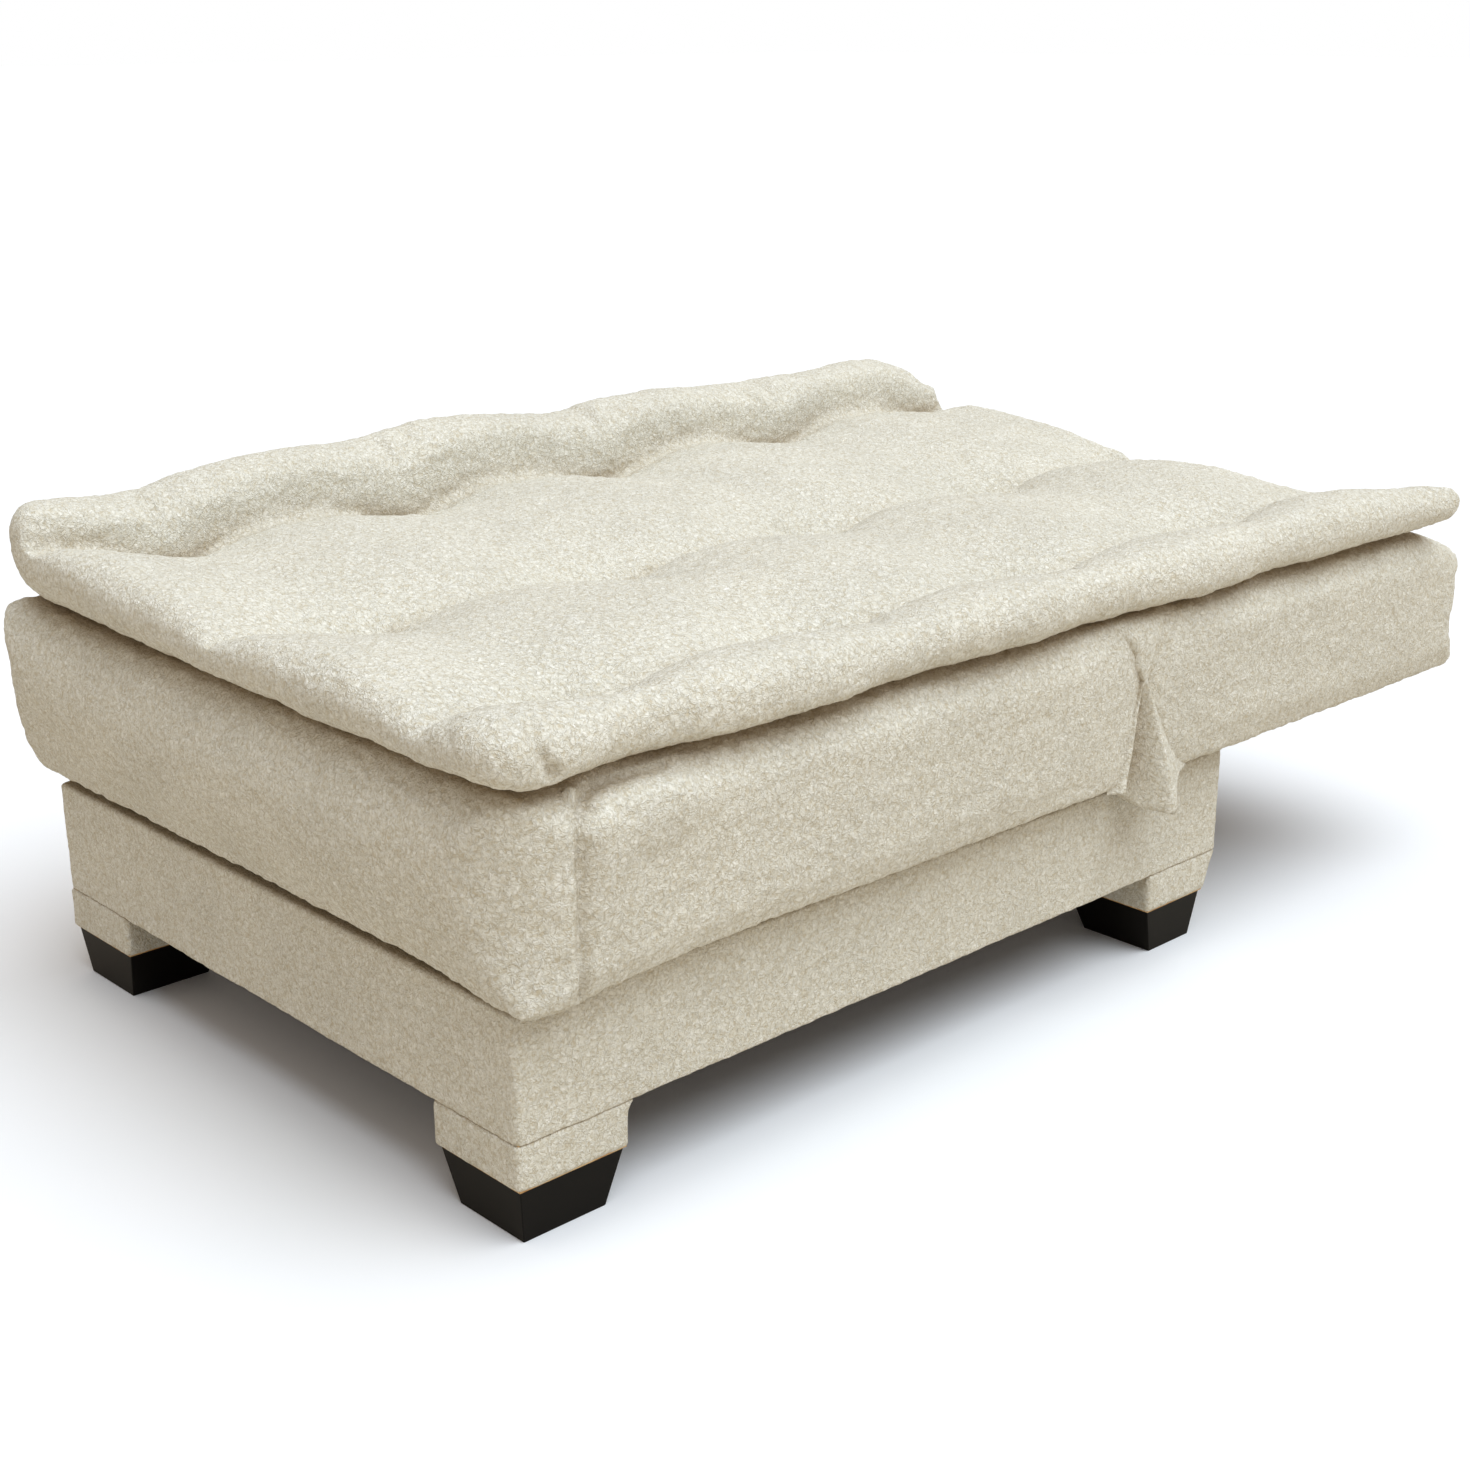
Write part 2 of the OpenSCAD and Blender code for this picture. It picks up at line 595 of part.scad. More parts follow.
module hinge_tie_tube() color(steel) difference() {
    pin(tube_at, -back_arm_in, back_arm_in, tube_r);
    pin(tube_at, -back_arm_in - cut, back_arm_in + cut, tube_r - tube_t);
}

// Back block
module back_side_rails() color(pine) pair() rail(fold_y + arm_start, frame_end, back_bolts);
module back_cross_rails() color(pine) {
    box([-back_arm_in, fold_y + arm_start, frame_z],
        [back_arm_in, fold_y + arm_start + frame_t, frame_z + cross_low]);
    box([-slot_in, fold_y + arm_start, frame_z], [slot_in, fold_y + arm_start + frame_t, deck_z]);
    box([-frame_in, frame_end - frame_t, frame_z], [frame_in, frame_end, deck_z]);
}
module back_webbing() color(black) mirror([0, 1, 0])
    webbing(-frame_end, -fold_y - arm_start, straps_across - 1, pocket_l - frame_t);
module back_foam() color(foam_yellow) difference() {
    back_shape(fabric_t + fit);
    under(foam_z);
    arm_pockets();
}
module back_edge_padding() color(foam_yellow) difference() {
    back_shape(fabric_t + fit);
    box([-frame_out, fold_y - cut, -cut], [frame_out, frame_end, block_top]);
    box([-bed_l, -bed_l, foam_z], [bed_l, bed_l, block_top + cut]);
}
module back_cover() color(cream) difference() {
    back_shape(0);
    back_shape(fabric_t);
    box([-hem_in, fold_y + 2 * hem, -cut], [hem_in, frame_end - hem, frame_z]);
    arm_pockets();
}
module back_underside_cloth() color(black)
    box([-hem_in + fit, fold_y + 2 * hem + fit, frame_z - cloth_t],
        [hem_in - fit, frame_end - hem - fit, frame_z]);
module back_hinge_packers() color(pine) pair()
    packer(fold_y + arm_start + frame_t, fold_y + arm_end, back_arm_out, back_bolts);

// Topper: a sewn pad whose top follows its lines, tufts and rolls
topper_half = topper_w / 2;
topper_y0 = front_y - topper_lip;
topper_y1 = end_y - topper_short;
line_x = topper_half - roll_w;
edge_lift = 20;
edge_z = block_top + edge_lift;
edge_t = 10;
edge_r = 70;
under_r = 35;
line_reach = 130;
tuft_reach = 150;
pull_in = 9;
tufts = 5;
line_share = 0.55;
row_share = 0.4;
crest_share = 0.55;
high_roll_share = 0.62;
even_share = 0.6;
far_share = 0.8;
slow_share = 0.45;
mitre_reach = 230;
function ease(u) = let (q = min(1, abs(u))) (1 - q) * (1 - q) * (1 + 2 * q);
function crown(u) = let (q = min(1, max(0, u))) sqrt(1 - (1 - q) * (1 - q));
function tuft_y(k) = front_y + tuft_first + k * tuft_pitch;
function near_tuft(y) = max([for (k = [0 : tufts - 1]) ease((y - tuft_y(k)) / tuft_reach)]);
function half_at(y) = topper_half - pull_in * near_tuft(y);
function line_dip(x, y) = max([for (s = [-1, 0, 1]) ease((x - s * line_x) / line_reach)])
    * (line_share + (1 - line_share) * near_tuft(y));
function row_dip(x, y) = abs(x) < line_x ? row_share * near_tuft(y) : 0;
function roll_rise(x) = (low_roll_h - puff_h) * ease((x - line_x - roll_w / 2) / (roll_w / 2))
    + (high_roll_h - puff_h) * ease((x + line_x + roll_w * crest_share) / (roll_w * high_roll_share));
function body_h(x, y) = puff_h + roll_rise(x) - quilt_depth * max(line_dip(x, y), row_dip(x, y));
function edge_share(x, y, r = edge_r) = crown((half_at(y) - abs(x)) / r) * crown((y - topper_y0) / r)
    * crown((topper_y1 - y) / r);
function top_z(x, y) = let (low = edge_z + edge_t) low + (block_top + body_h(x, y) - low) * edge_share(x, y);
function under_z(x, y) = block_top + soft_gap + (edge_z - block_top) * (1 - edge_share(x, y, under_r));
columns = 26;
function column_x(i, y) = let (t = i / columns)
    half_at(y) * (even_share * (2 * t - 1) - (1 - even_share) * cos(180 * t));
// Where column i of the top, or of the under side if low, meets the mitre, found in a few steps
function mitre_at(i, side, low = false, y = fold_y, n = 10) = n == 0 ? y
    : let (x = column_x(i, y), z = low ? under_z(x, y) : top_z(x, y))
        mitre_at(i, side, low, fold_y + side * (soft_gap + mitre_y(z)), n - 1);
module quilt(rows) {
    n = columns + 1;
    m = len(rows) - 1;
    function at(j, s, i) = (2 * j + s) * n + i;
    quads = concat(
        [for (j = [0 : m - 1], i = [0 : columns - 1])
            [at(j, 0, i), at(j + 1, 0, i), at(j + 1, 0, i + 1), at(j, 0, i + 1)]],
        [for (j = [0 : m - 1], i = [0 : columns - 1])
            [at(j, 1, i), at(j, 1, i + 1), at(j + 1, 1, i + 1), at(j + 1, 1, i)]],
        [for (j = [0 : m - 1]) [at(j, 1, 0), at(j + 1, 1, 0), at(j + 1, 0, 0), at(j, 0, 0)]],
        [for (j = [0 : m - 1])
            [at(j, 1, columns), at(j, 0, columns), at(j + 1, 0, columns), at(j + 1, 1, columns)]],
        [for (i = [0 : columns - 1]) [at(0, 1, i), at(0, 0, i), at(0, 0, i + 1), at(0, 1, i + 1)]],
        [for (i = [0 : columns - 1]) [at(m, 1, i), at(m, 1, i + 1), at(m, 0, i + 1), at(m, 0, i)]]);
    polyhedron([for (row = rows, p = row) p],
        [for (q = quads, t = [[0, 1, 2], [0, 2, 3]]) [for (k = t) q[k]]]);
}
// One row of the pad: its top points and then its under points, from y values for each
function pad_row(top_y, low_y) = concat(
    [for (i = [0 : columns]) let (y = top_y(i), x = column_x(i, y)) [x, y, top_z(x, y)]],
    [for (i = [0 : columns]) let (y = low_y(i), x = column_x(i, y)) [x, y, under_z(x, y)]]);
rows = 20;
module topper_part(side, y_end) {
    hold = fold_y + side * mitre_reach;
    function along(t, last) = t < far_share ? y_end + (hold - y_end) * edge_step(t / far_share)
        : hold + (last - hold) * (t - far_share) / (1 - far_share);
    list = [for (j = [0 : rows]) let (t = j / rows)
        pad_row(function (i) along(t, mitre_at(i, side)), function (i) along(t, mitre_at(i, side, true)))];
    quilt(side > 0 ? [for (j = [rows : -1 : 0]) list[j]] : list);
}
function edge_step(t) = t * t * slow_share + t * (1 - slow_share);
module topper_seat() color(cream) topper_part(-1, topper_y0);
module topper_back() color(cream) topper_part(1, topper_y1);
fold_rows = 4;
function in_fold(i, t, low) = (mitre_at(i, -1, low) + 2 * soft_gap) * (1 - t)
    + (mitre_at(i, 1, low) - 2 * soft_gap) * t;
module topper_fold() color(cream) quilt([for (j = [0 : fold_rows]) let (t = j / fold_rows)
    pad_row(function (i) in_fold(i, t, false), function (i) in_fold(i, t, true))]);

// Gussets: the pleat of fabric that closes the wedge under a raised back, folded out while flat
gusset_rise = 132;
gusset_front = 45;
gusset_rear = 100;
gusset_drop = 40;
gusset_out = 24;
gusset_lip = 4;
gusset_steps = 6;
gusset_half_share = 0.5;
gusset_sag_share = 0.6;
gusset_end_share = 0.8;
module gusset() color(cream) {
    x0 = block_half + soft_gap;
    n = 5;
    points = [for (k = [0 : gusset_steps]) let (t = k / gusset_steps, z = block_z + gusset_rise * (1 - t),
        a = fold_y - gusset_front * t - gusset_lip, b = fold_y + gusset_rear * t + gusset_lip,
        o = gusset_lip + gusset_out * t, drop = gusset_drop * t)
        each [[x0, a, z], [x0 + o * gusset_half_share, a, z],
            [x0 + o, (2 * a + b) / 3, z - drop * gusset_sag_share],
            [x0 + o * gusset_end_share, (a + 3 * b) / 4, z - drop], [x0, b, z - drop * gusset_end_share]]];
    sides = [for (k = [0 : gusset_steps - 1], i = [0 : n - 1]) let (a = k * n + i, b = k * n + (i + 1) % n)
        each [[a, b, b + n], [a, b + n, a + n]]];
    last = gusset_steps * n;
    polyhedron(points, concat([for (i = [1 : n - 2]) [0, i + 1, i]],
        [for (f = sides) [f[0], f[1], f[2]]], [for (i = [1 : n - 2]) [last, last + i, last + i + 1]]));
}
module gusset_right() gusset();
module gusset_left() mirror([1, 0, 0]) gusset();

base_side_rails();
base_end_rails();
base_corner_blocks();
base_slats();
base_panels();
base_dust_cover();
leg_cores();
leg_covers();
feet();
foot_screws();
seat_buffers();
pivot_brackets();
bracket_screws();
base_pivot_bolts();
base_pivot_washers();
seat_side_rails();
seat_cross_rails();
seat_webbing();
seat_foam();
seat_edge_padding();
seat_cover();
seat_underside_cloth();
seat_hinge_packers();
seat_arms();
seat_arm_bolts();
fold_pivot_bolts();
fold_pivot_nuts();
fold_washers();
pawl_pins();
pawl_spring_left();
pawl_spring_right();
pawl_left();
pawl_right();
topper_seat();
topper_fold();
topper_back();
gusset_left();
gusset_right();
back_side_rails();
back_cross_rails();
back_webbing();
back_foam();
back_edge_padding();
back_cover();
back_underside_cloth();
back_hinge_packers();
back_arms();
back_arm_bolts();
hinge_tie_tube();
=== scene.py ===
import itertools
import json
import logging
import math
from dataclasses import dataclass, field
from enum import Enum

import bpy
import numpy as np
from mathutils import Matrix, Vector


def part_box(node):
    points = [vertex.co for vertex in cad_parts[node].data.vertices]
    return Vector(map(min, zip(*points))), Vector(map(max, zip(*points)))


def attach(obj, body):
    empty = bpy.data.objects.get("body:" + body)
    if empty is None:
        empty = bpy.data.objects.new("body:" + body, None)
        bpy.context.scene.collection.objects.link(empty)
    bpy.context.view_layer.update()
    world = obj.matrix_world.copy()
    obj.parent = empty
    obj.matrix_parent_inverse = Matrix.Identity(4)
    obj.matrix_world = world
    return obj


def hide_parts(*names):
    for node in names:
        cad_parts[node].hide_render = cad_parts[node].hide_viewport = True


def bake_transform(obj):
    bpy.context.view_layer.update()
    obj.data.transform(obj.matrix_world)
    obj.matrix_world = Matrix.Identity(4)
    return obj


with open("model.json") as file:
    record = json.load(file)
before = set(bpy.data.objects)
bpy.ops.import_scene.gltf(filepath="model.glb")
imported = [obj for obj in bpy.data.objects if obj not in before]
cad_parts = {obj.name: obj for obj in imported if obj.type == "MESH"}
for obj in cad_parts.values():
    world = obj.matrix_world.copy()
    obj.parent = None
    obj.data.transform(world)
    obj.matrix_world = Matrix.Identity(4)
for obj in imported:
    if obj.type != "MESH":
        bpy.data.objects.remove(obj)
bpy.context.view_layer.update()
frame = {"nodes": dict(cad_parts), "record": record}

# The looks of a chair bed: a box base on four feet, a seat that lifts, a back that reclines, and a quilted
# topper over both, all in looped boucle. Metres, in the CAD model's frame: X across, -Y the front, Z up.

log = logging.getLogger("chair_bed")
Points = np.ndarray
Colour = tuple[float, float, float, float]
MM = 0.001


class Axis(Enum):
    """The three axes of the frame."""

    X = 0
    Y = 1
    Z = 2


# ---------------------------------------------------------------- small tools


def linear(colour: str) -> Colour:
    """Turns an sRGB hex colour into linear light.

    Args:
        colour: six hex digits after a hash.

    Returns:
        Red, green, blue and an alpha of one.
    """
    parts = [int(colour[i : i + 2], 16) / 255 for i in (1, 3, 5)]
    low, high = 12.92, 1.055
    return tuple(c / low if c <= 0.04045 else ((c + 0.055) / high) ** 2.4 for c in parts) + (1.0,)


def add_node(tree: bpy.types.NodeTree, kind: str, settings: dict | None = None,
             inputs: dict | None = None) -> bpy.types.Node:
    """Adds a node with its settings and links.

    Args:
        tree: the node tree that takes the node.
        kind: the node's type name.
        settings: attributes to set on the node.
        inputs: socket name or index, with a plain value or the output socket that feeds it.

    Returns:
        The new node.
    """
    node = tree.nodes.new(kind)
    for name, value in (settings or {}).items():
        setattr(node, name, value)
    for key, value in (inputs or {}).items():
        if isinstance(value, bpy.types.NodeSocket):
            tree.links.new(value, node.inputs[key])
        else:
            node.inputs[key].default_value = value
    return node


def mesh_object(name: str, points: Points, faces: list) -> bpy.types.Object:
    """Makes a smooth-shaded mesh object at the origin.

    Args:
        name: the piece's name.
        points: vertex places, one row each.
        faces: vertex indices of each face.

    Returns:
        The object, linked to the scene.
    """
    mesh = bpy.data.meshes.new(name)
    mesh.from_pydata(np.asarray(points).tolist(), [], [list(face) for face in faces])
    mesh.validate()
    mesh.shade_smooth()
    piece = bpy.data.objects.new(name, mesh)
    bpy.context.scene.collection.objects.link(piece)
    return piece


def vertices(piece: bpy.types.Object) -> Points:
    """Returns the piece's vertex places, one row each.

    Args:
        piece: a mesh object.

    Returns:
        Places, one row each.
    """
    places = np.zeros(len(piece.data.vertices) * 3)
    piece.data.vertices.foreach_get("co", places)
    return places.reshape(-1, 3)


def normals(piece: bpy.types.Object) -> Points:
    """Returns the piece's vertex normals, one row each.

    Args:
        piece: a mesh object.

    Returns:
        Directions, one row each.
    """
    directions = np.zeros(len(piece.data.vertices) * 3)
    piece.data.vertices.foreach_get("normal", directions)
    return directions.reshape(-1, 3)


def place(piece: bpy.types.Object, places: Points) -> None:
    """Moves the piece's vertices to these places."""
    piece.data.vertices.foreach_set("co", np.asarray(places, float).ravel())
    piece.data.update()


def bake(piece: bpy.types.Object) -> None:
    """Applies the piece's modifiers, so that it is a plain mesh.

    Args:
        piece: a mesh object with modifiers.
    """
    graph = bpy.context.evaluated_depsgraph_get()
    old = piece.data
    new = bpy.data.meshes.new_from_object(piece.evaluated_get(graph), depsgraph=graph)
    piece.modifiers.clear()
    piece.data = new
    bpy.data.meshes.remove(old)
    new.name = piece.name


def discard(piece: bpy.types.Object) -> None:
    """Removes a helper object and its mesh.

    Args:
        piece: the helper.
    """
    mesh = piece.data
    bpy.data.objects.remove(piece)
    bpy.data.meshes.remove(mesh)


def remesh(piece: bpy.types.Object, voxel: float, rounds: int) -> None:
    """Gives the piece an even skin of squares.

    Args:
        piece: a closed mesh.
        voxel: side of the squares.
        rounds: how many times the steps that the squares leave are smoothed.
    """
    skin = piece.modifiers.new("Skin", "REMESH")
    skin.mode = "VOXEL"
    skin.voxel_size = voxel
    skin.use_smooth_shade = True
    ease_off = piece.modifiers.new("Smooth", "SMOOTH")
    ease_off.factor = 0.5
    ease_off.iterations = rounds
    bake(piece)


def subdivide(piece: bpy.types.Object) -> None:
    """Splits each face of the piece in four on a smooth surface.

    Args:
        piece: a mesh object.
    """
    finer = piece.modifiers.new("Finer", "SUBSURF")
    finer.levels = finer.render_levels = 1
    bake(piece)


def carve(piece: bpy.types.Object, cutters: list[bpy.types.Object], operation: str = "DIFFERENCE") -> None:
    """Cuts the piece with closed helpers, and removes the helpers.

    Args:
        piece: the closed mesh that is cut.
        cutters: closed helper objects.
        operation: what the cut does, DIFFERENCE or INTERSECT.
    """
    for cutter in cutters:
        cut = piece.modifiers.new("Cut", "BOOLEAN")
        cut.object = cutter
        cut.operation = operation
        cut.solver = "MANIFOLD"
    bake(piece)
    for cutter in cutters:
        discard(cutter)


def arc(centre: tuple[float, float], radius: float, start: float, end: float, steps: int = 8) -> list:
    """Returns points along an arc from start to end degrees."""
    angles = [math.radians(start + (end - start) * i / steps) for i in range(steps + 1)]
    return [(centre[0] + radius * math.cos(a), centre[1] + radius * math.sin(a)) for a in angles]


def prism(name: str, axis: Axis, outline: list, low: float, high: float) -> bpy.types.Object:
    """Draws an outline out along an axis into a closed solid.

    Args:
        name: the helper's name.
        axis: the axis it is drawn along.
        outline: points in the other two axes, in their order X, Y, Z.
        low: where it starts on the axis.
        high: where it ends on the axis.

    Returns:
        The solid, with its faces pointing outwards.
    """
    count = len(outline)
    flat = np.array(outline, float)
    rows = [np.insert(flat, axis.value, at, axis=1) for at in (low, high)]
    x, y = flat[:, 0], flat[:, 1]
    turn = np.sum(x * np.roll(y, -1) - np.roll(x, -1) * y)
    outward = (turn > 0) != (axis is Axis.Y)
    faces = [list(range(count))[::-1], list(range(count, 2 * count))]
    faces += [[i, (i + 1) % count, count + (i + 1) % count, count + i] for i in range(count)]
    if not outward:
        faces = [face[::-1] for face in faces]
    return mesh_object(name, np.concatenate(rows), faces)


def box(name: str, low: tuple, high: tuple) -> bpy.types.Object:
    """Returns a closed helper box between two corners."""
    outline = [(low[0], low[1]), (high[0], low[1]), (high[0], high[1]), (low[0], high[1])]
    return prism(name, Axis.Z, outline, low[2], high[2])


def ease(distance: Points) -> Points:
    """Falls smoothly from one at nought to nothing at one."""
    q = np.minimum(1, np.abs(distance))
    return (1 - q) ** 2 * (1 + 2 * q)


def crown(inset: Points) -> Points:
    """Rises as a quarter circle from nothing at nought to one at one."""
    q = np.clip(inset, 0, 1)
    return np.sqrt(1 - (1 - q) ** 2)


def soft_noise(points: Points, size: float, seed: int) -> Points:
    """Smooth noise between minus one and one, the same on every run.

    Args:
        points: where it is read, one row each.
        size: distance between its bumps.
        seed: picks another pattern.

    Returns:
        One value for each point.
    """
    scaled = points / size
    cell = np.floor(scaled).astype(np.int64)
    part = scaled - cell
    part = part * part * (3 - 2 * part)
    total = np.zeros(len(points))
    for corner in itertools.product((0, 1), repeat=3):
        index = cell + np.array(corner)
        code = (index[:, 0] * 73856093) ^ (index[:, 1] * 19349663) ^ (index[:, 2] * 83492791) ^ (seed * 26544357)
        code = ((code ^ (code >> 13)) * 1274126177) & 0xFFFFFFFF
        value = ((code ^ (code >> 16)) & 0xFFFF) / 0xFFFF * 2 - 1
        total += value * np.prod(np.where(np.array(corner) == 1, part, 1 - part), axis=1)
    return total


def groove(points: Points, path: list, width: float) -> Points:
    """Says how near each point is to a sewn path.

    Args:
        points: places, one row each, in as many axes as the path.
        path: corners of the path.
        width: distance at which the groove has gone.

    Returns:
        One on the path, falling to nothing at the width.
    """
    nearest = np.full(len(points), np.inf)
    for start, end in zip(path[:-1], path[1:]):
        a, b = np.array(start, float), np.array(end, float)
        share = np.clip(((points - a) @ (b - a)) / max(1e-12, (b - a) @ (b - a)), 0, 1)
        nearest = np.minimum(nearest, np.linalg.norm(points - a - share[:, None] * (b - a), axis=1))
    return ease(nearest / width)


def read_table(table: tuple, at: Points) -> Points:
    """Returns the values that a table of places and values gives at these places."""
    return np.interp(at, *zip(*table))


def even_steps(path: Points, carried: list[Points], count: int) -> list[Points]:
    """Spreads what is known at the corners of a closed path over even steps along it.

    Args:
        path: the corners, one row each.
        carried: what is spread, each with one row for a corner.
        count: number of steps.

    Returns:
        Each of the carried values with one row for a step.
    """
    step = np.linalg.norm(np.diff(path, axis=0, append=path[:1]), axis=1)
    travel = np.concatenate([[0], np.cumsum(step)])
    even = np.linspace(0, travel[-1], count, endpoint=False)
    closed = [np.concatenate([part, part[:1]]) for part in carried]
    return [np.stack([np.interp(even, travel, column) for column in part.T], axis=1) for part in closed]


def tug(moved: Points, points: Points, pulls: tuple) -> Points:
    """Adds soft pulls, each full at its centre and fading out around it.

    Args:
        moved: the places so far, which are changed.
        points: where each point lay before any pull.
        pulls: for each pull its centre, its reach and how far it draws in X, Y and Z.

    Returns:
        The places after the pulls.
    """
    for centre, reach, amount in pulls:
        share = np.exp(-np.sum((points - centre) ** 2, axis=1) / reach**2)
        moved += share[:, None] * np.array(amount)
    return moved


def dress(piece: bpy.types.Object, body: str, nodes: tuple[str, ...]) -> None:
    """Lets a rigid piece ride on a body, in place of CAD nodes.

    Args:
        piece: the piece.
        body: the body that it rides on.
        nodes: the CAD nodes that it stands for, if any.
    """
    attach(piece, body)
    if nodes:
        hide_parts(*nodes)
    log.info("%s: %d faces", piece.name, len(piece.data.polygons))


@dataclass
class Swelling:
    """How stuffing pushes a cover out, as a cloth simulation."""

    pressure: float = 4.0
    frames: int = 20
    cap: float = 8 * MM
    mass: float = 0.3
    tension: float = 15.0
    bending: float = 2.0
    steps: int = 4
    calm_rounds: int = 4

    def run(self, piece: bpy.types.Object, sewn: Points) -> None:
        """Swells the piece where it isn't sewn or pressed down.

        Args:
            piece: an evenly meshed cover.
            sewn: for each vertex, from nought, free, to one, held.
        """
        group = piece.vertex_groups.new(name="sewn")
        for level in np.unique(np.round(sewn, 1)):
            members = np.flatnonzero(np.round(sewn, 1) == level)
            if level > 0:
                group.add([int(i) for i in members], float(level), "REPLACE")
        before = vertices(piece)
        cloth = piece.modifiers.new("Swell", "CLOTH")
        cloth.settings.quality = self.steps
        cloth.settings.mass = self.mass
        cloth.settings.tension_stiffness = cloth.settings.compression_stiffness = self.tension
        cloth.settings.bending_stiffness = self.bending
        cloth.settings.use_pressure = True
        cloth.settings.uniform_pressure_force = self.pressure
        cloth.settings.effector_weights.gravity = 0
        cloth.settings.vertex_group_mass = group.name
        cloth.collision_settings.use_collision = False
        cloth.point_cache.frame_start = 1
        cloth.point_cache.frame_end = self.frames
        scene = bpy.context.scene
        for number in range(1, self.frames + 1):
            scene.frame_set(number)
        bake(piece)
        scene.frame_set(1)
        moved = vertices(piece) - before
        length = np.linalg.norm(moved, axis=1)
        allowed = self.cap * (1 - sewn)
        share = np.minimum(1, allowed / np.maximum(length, 1e-9))
        place(piece, before + moved * share[:, None])
        piece.vertex_groups.clear()
        calm = piece.modifiers.new("Calm", "SMOOTH")
        calm.factor = 0.5
        calm.iterations = self.calm_rounds
        bake(piece)
        log.info("%s swelled by up to %.1f mm", piece.name, float((length * share).max()) / MM)


# ---------------------------------------------------------------- finishes


@dataclass(frozen=True)
class Boucle:
    """Boucle: looped wool-like yarn on a knitted back, so its surface is matt, curly and shadowed between loops, with
    painted shade in its hollows and crevices and painted highlight on its loop tips.
    """

    name: str = "boucle_cream"
    # Painted shade: the crevice tone darkens the cloth where cushions meet and under their lips.
    painted_crevice_shade: str = "#cdbca8"
    # The hollow and tip tones are painted shade and painted highlight of the pile: darker between the loops, lighter on
    # their tips, around the body colour.
    hollow: str = "#c9c1ac"
    body: str = "#e2e1d6"
    tip: str = "#f4f4ee"
    # Loops of about 5 mm gather in curls of 11 mm. Strands are about 1 mm in truth, coarser here so that they show
    curl: float = 11.0 * MM
    loop: float = 4.8 * MM
    strand: float = 2.6 * MM
    patch: float = 120 * MM
    relief: float = 2.6 * MM
    roughness: float = 0.95
    shine: float = 0.1
    # How far the painted shade's occlusion test looks for nearby surfaces.
    painted_shade_reach: float = 45 * MM
    # How much the strands count against the loops, and both against the clumps
    strand_share: float = 0.6
    fine_share: float = 0.84
    # How much darker and lighter whole patches of the cloth are
    patch_tone: tuple[float, float] = (0.96, 1.03)

    def build(self) -> bpy.types.Material:
        """Makes the material.

        Returns:
            The material.
        """
        material, tree, surface, where = new_material(self.name)
        curled = self.bent(tree, where, 0.5 / self.curl, 1.2 * self.curl)
        tight = self.bent(tree, where, 0.6 / self.loop, 2.0 * self.loop)
        layers = []
        for kind, settings, inputs, output, low, high in (
                ("ShaderNodeTexNoise", {},
                 {"Vector": curled, "Scale": 1 / self.curl, "Detail": 2.0, "Roughness": 0.45}, 0, 0.3, 0.7),
                ("ShaderNodeTexVoronoi", {"feature": "SMOOTH_F1"},
                 {"Vector": tight, "Scale": 1 / self.loop, "Smoothness": 0.5}, "Distance", 0.7, 0.1),
                ("ShaderNodeTexNoise", {},
                 {"Vector": tight, "Scale": 1 / self.strand, "Detail": 1.0, "Distortion": 1.0}, 0, 0.3, 0.7)):
            texture = add_node(tree, kind, settings, inputs).outputs[output]
            layers.append(add_node(tree, "ShaderNodeMapRange",
                                   inputs={"Value": texture, "From Min": low, "From Max": high}).outputs[0])
        clumps, loops, strands = layers
        fine = add_node(tree, "ShaderNodeMix", {"data_type": "FLOAT"},
                        {"Factor": self.strand_share, 2: loops, 3: strands}).outputs[0]
        mixed = add_node(tree, "ShaderNodeMix", {"data_type": "FLOAT"},
                         {"Factor": self.fine_share, 2: clumps, 3: fine}).outputs[0]
        # Painted shade and highlight on the pile: the colour follows the same height as the bump, darker in the hollows
        # between loops and lighter on the loop tips.
        tint = add_node(tree, "ShaderNodeValToRGB", inputs={"Fac": mixed})
        self.set_stops(tint, ((0.1, self.hollow), (0.9, self.tip), (0.5, self.body)))
        patches = add_node(tree, "ShaderNodeTexNoise", inputs={"Vector": where, "Scale": 1 / self.patch, "Detail": 3.0})
        wide = add_node(tree, "ShaderNodeMapRange", inputs={
            "Value": patches.outputs[0], "From Min": 0.3, "From Max": 0.7,
            "To Min": self.patch_tone[0], "To Max": self.patch_tone[1]}).outputs[0]
        even = add_node(tree, "ShaderNodeVectorMath", {"operation": "SCALE"}, {0: tint.outputs[0], "Scale": wide})
        # Painted shade: where an ambient-occlusion test finds other surfaces close by, in creases, seams and under the
        # topper's lips, the colour is darkened towards a warm brown, the warmth that the yarn gives its shadows.
        open_share = add_node(tree, "ShaderNodeAmbientOcclusion", {"samples": 3}, {"Distance": self.painted_shade_reach})
        shade = add_node(tree, "ShaderNodeValToRGB", inputs={"Fac": open_share.outputs["AO"]})
        self.set_stops(shade, ((0.25, self.painted_crevice_shade), (0.8, "#ffffff")))
        colour = add_node(tree, "ShaderNodeVectorMath", {"operation": "MULTIPLY"},
                          {0: even.outputs[0], 1: shade.outputs[0]})
        relief = add_node(tree, "ShaderNodeBump", inputs={"Height": mixed, "Distance": self.relief, "Strength": 0.8})
        link_surface(tree, surface, colour.outputs[0], relief.outputs[0],
                     {"Roughness": self.roughness, "Specular IOR Level": self.shine})
        return material

    def set_stops(self, node: bpy.types.Node, stops: tuple) -> None:
        """Sets a colour ramp's stops.

        Args:
            node: the ramp, as it is when new, with two stops.
            stops: pairs of a position and a hex colour, the first two for the stops that it has.
        """
        ramp = node.color_ramp
        for element, (position, colour) in zip(tuple(ramp.elements), stops):
            element.position, element.color = position, linear(colour)
        for position, colour in stops[2:]:
            ramp.elements.new(position).color = linear(colour)

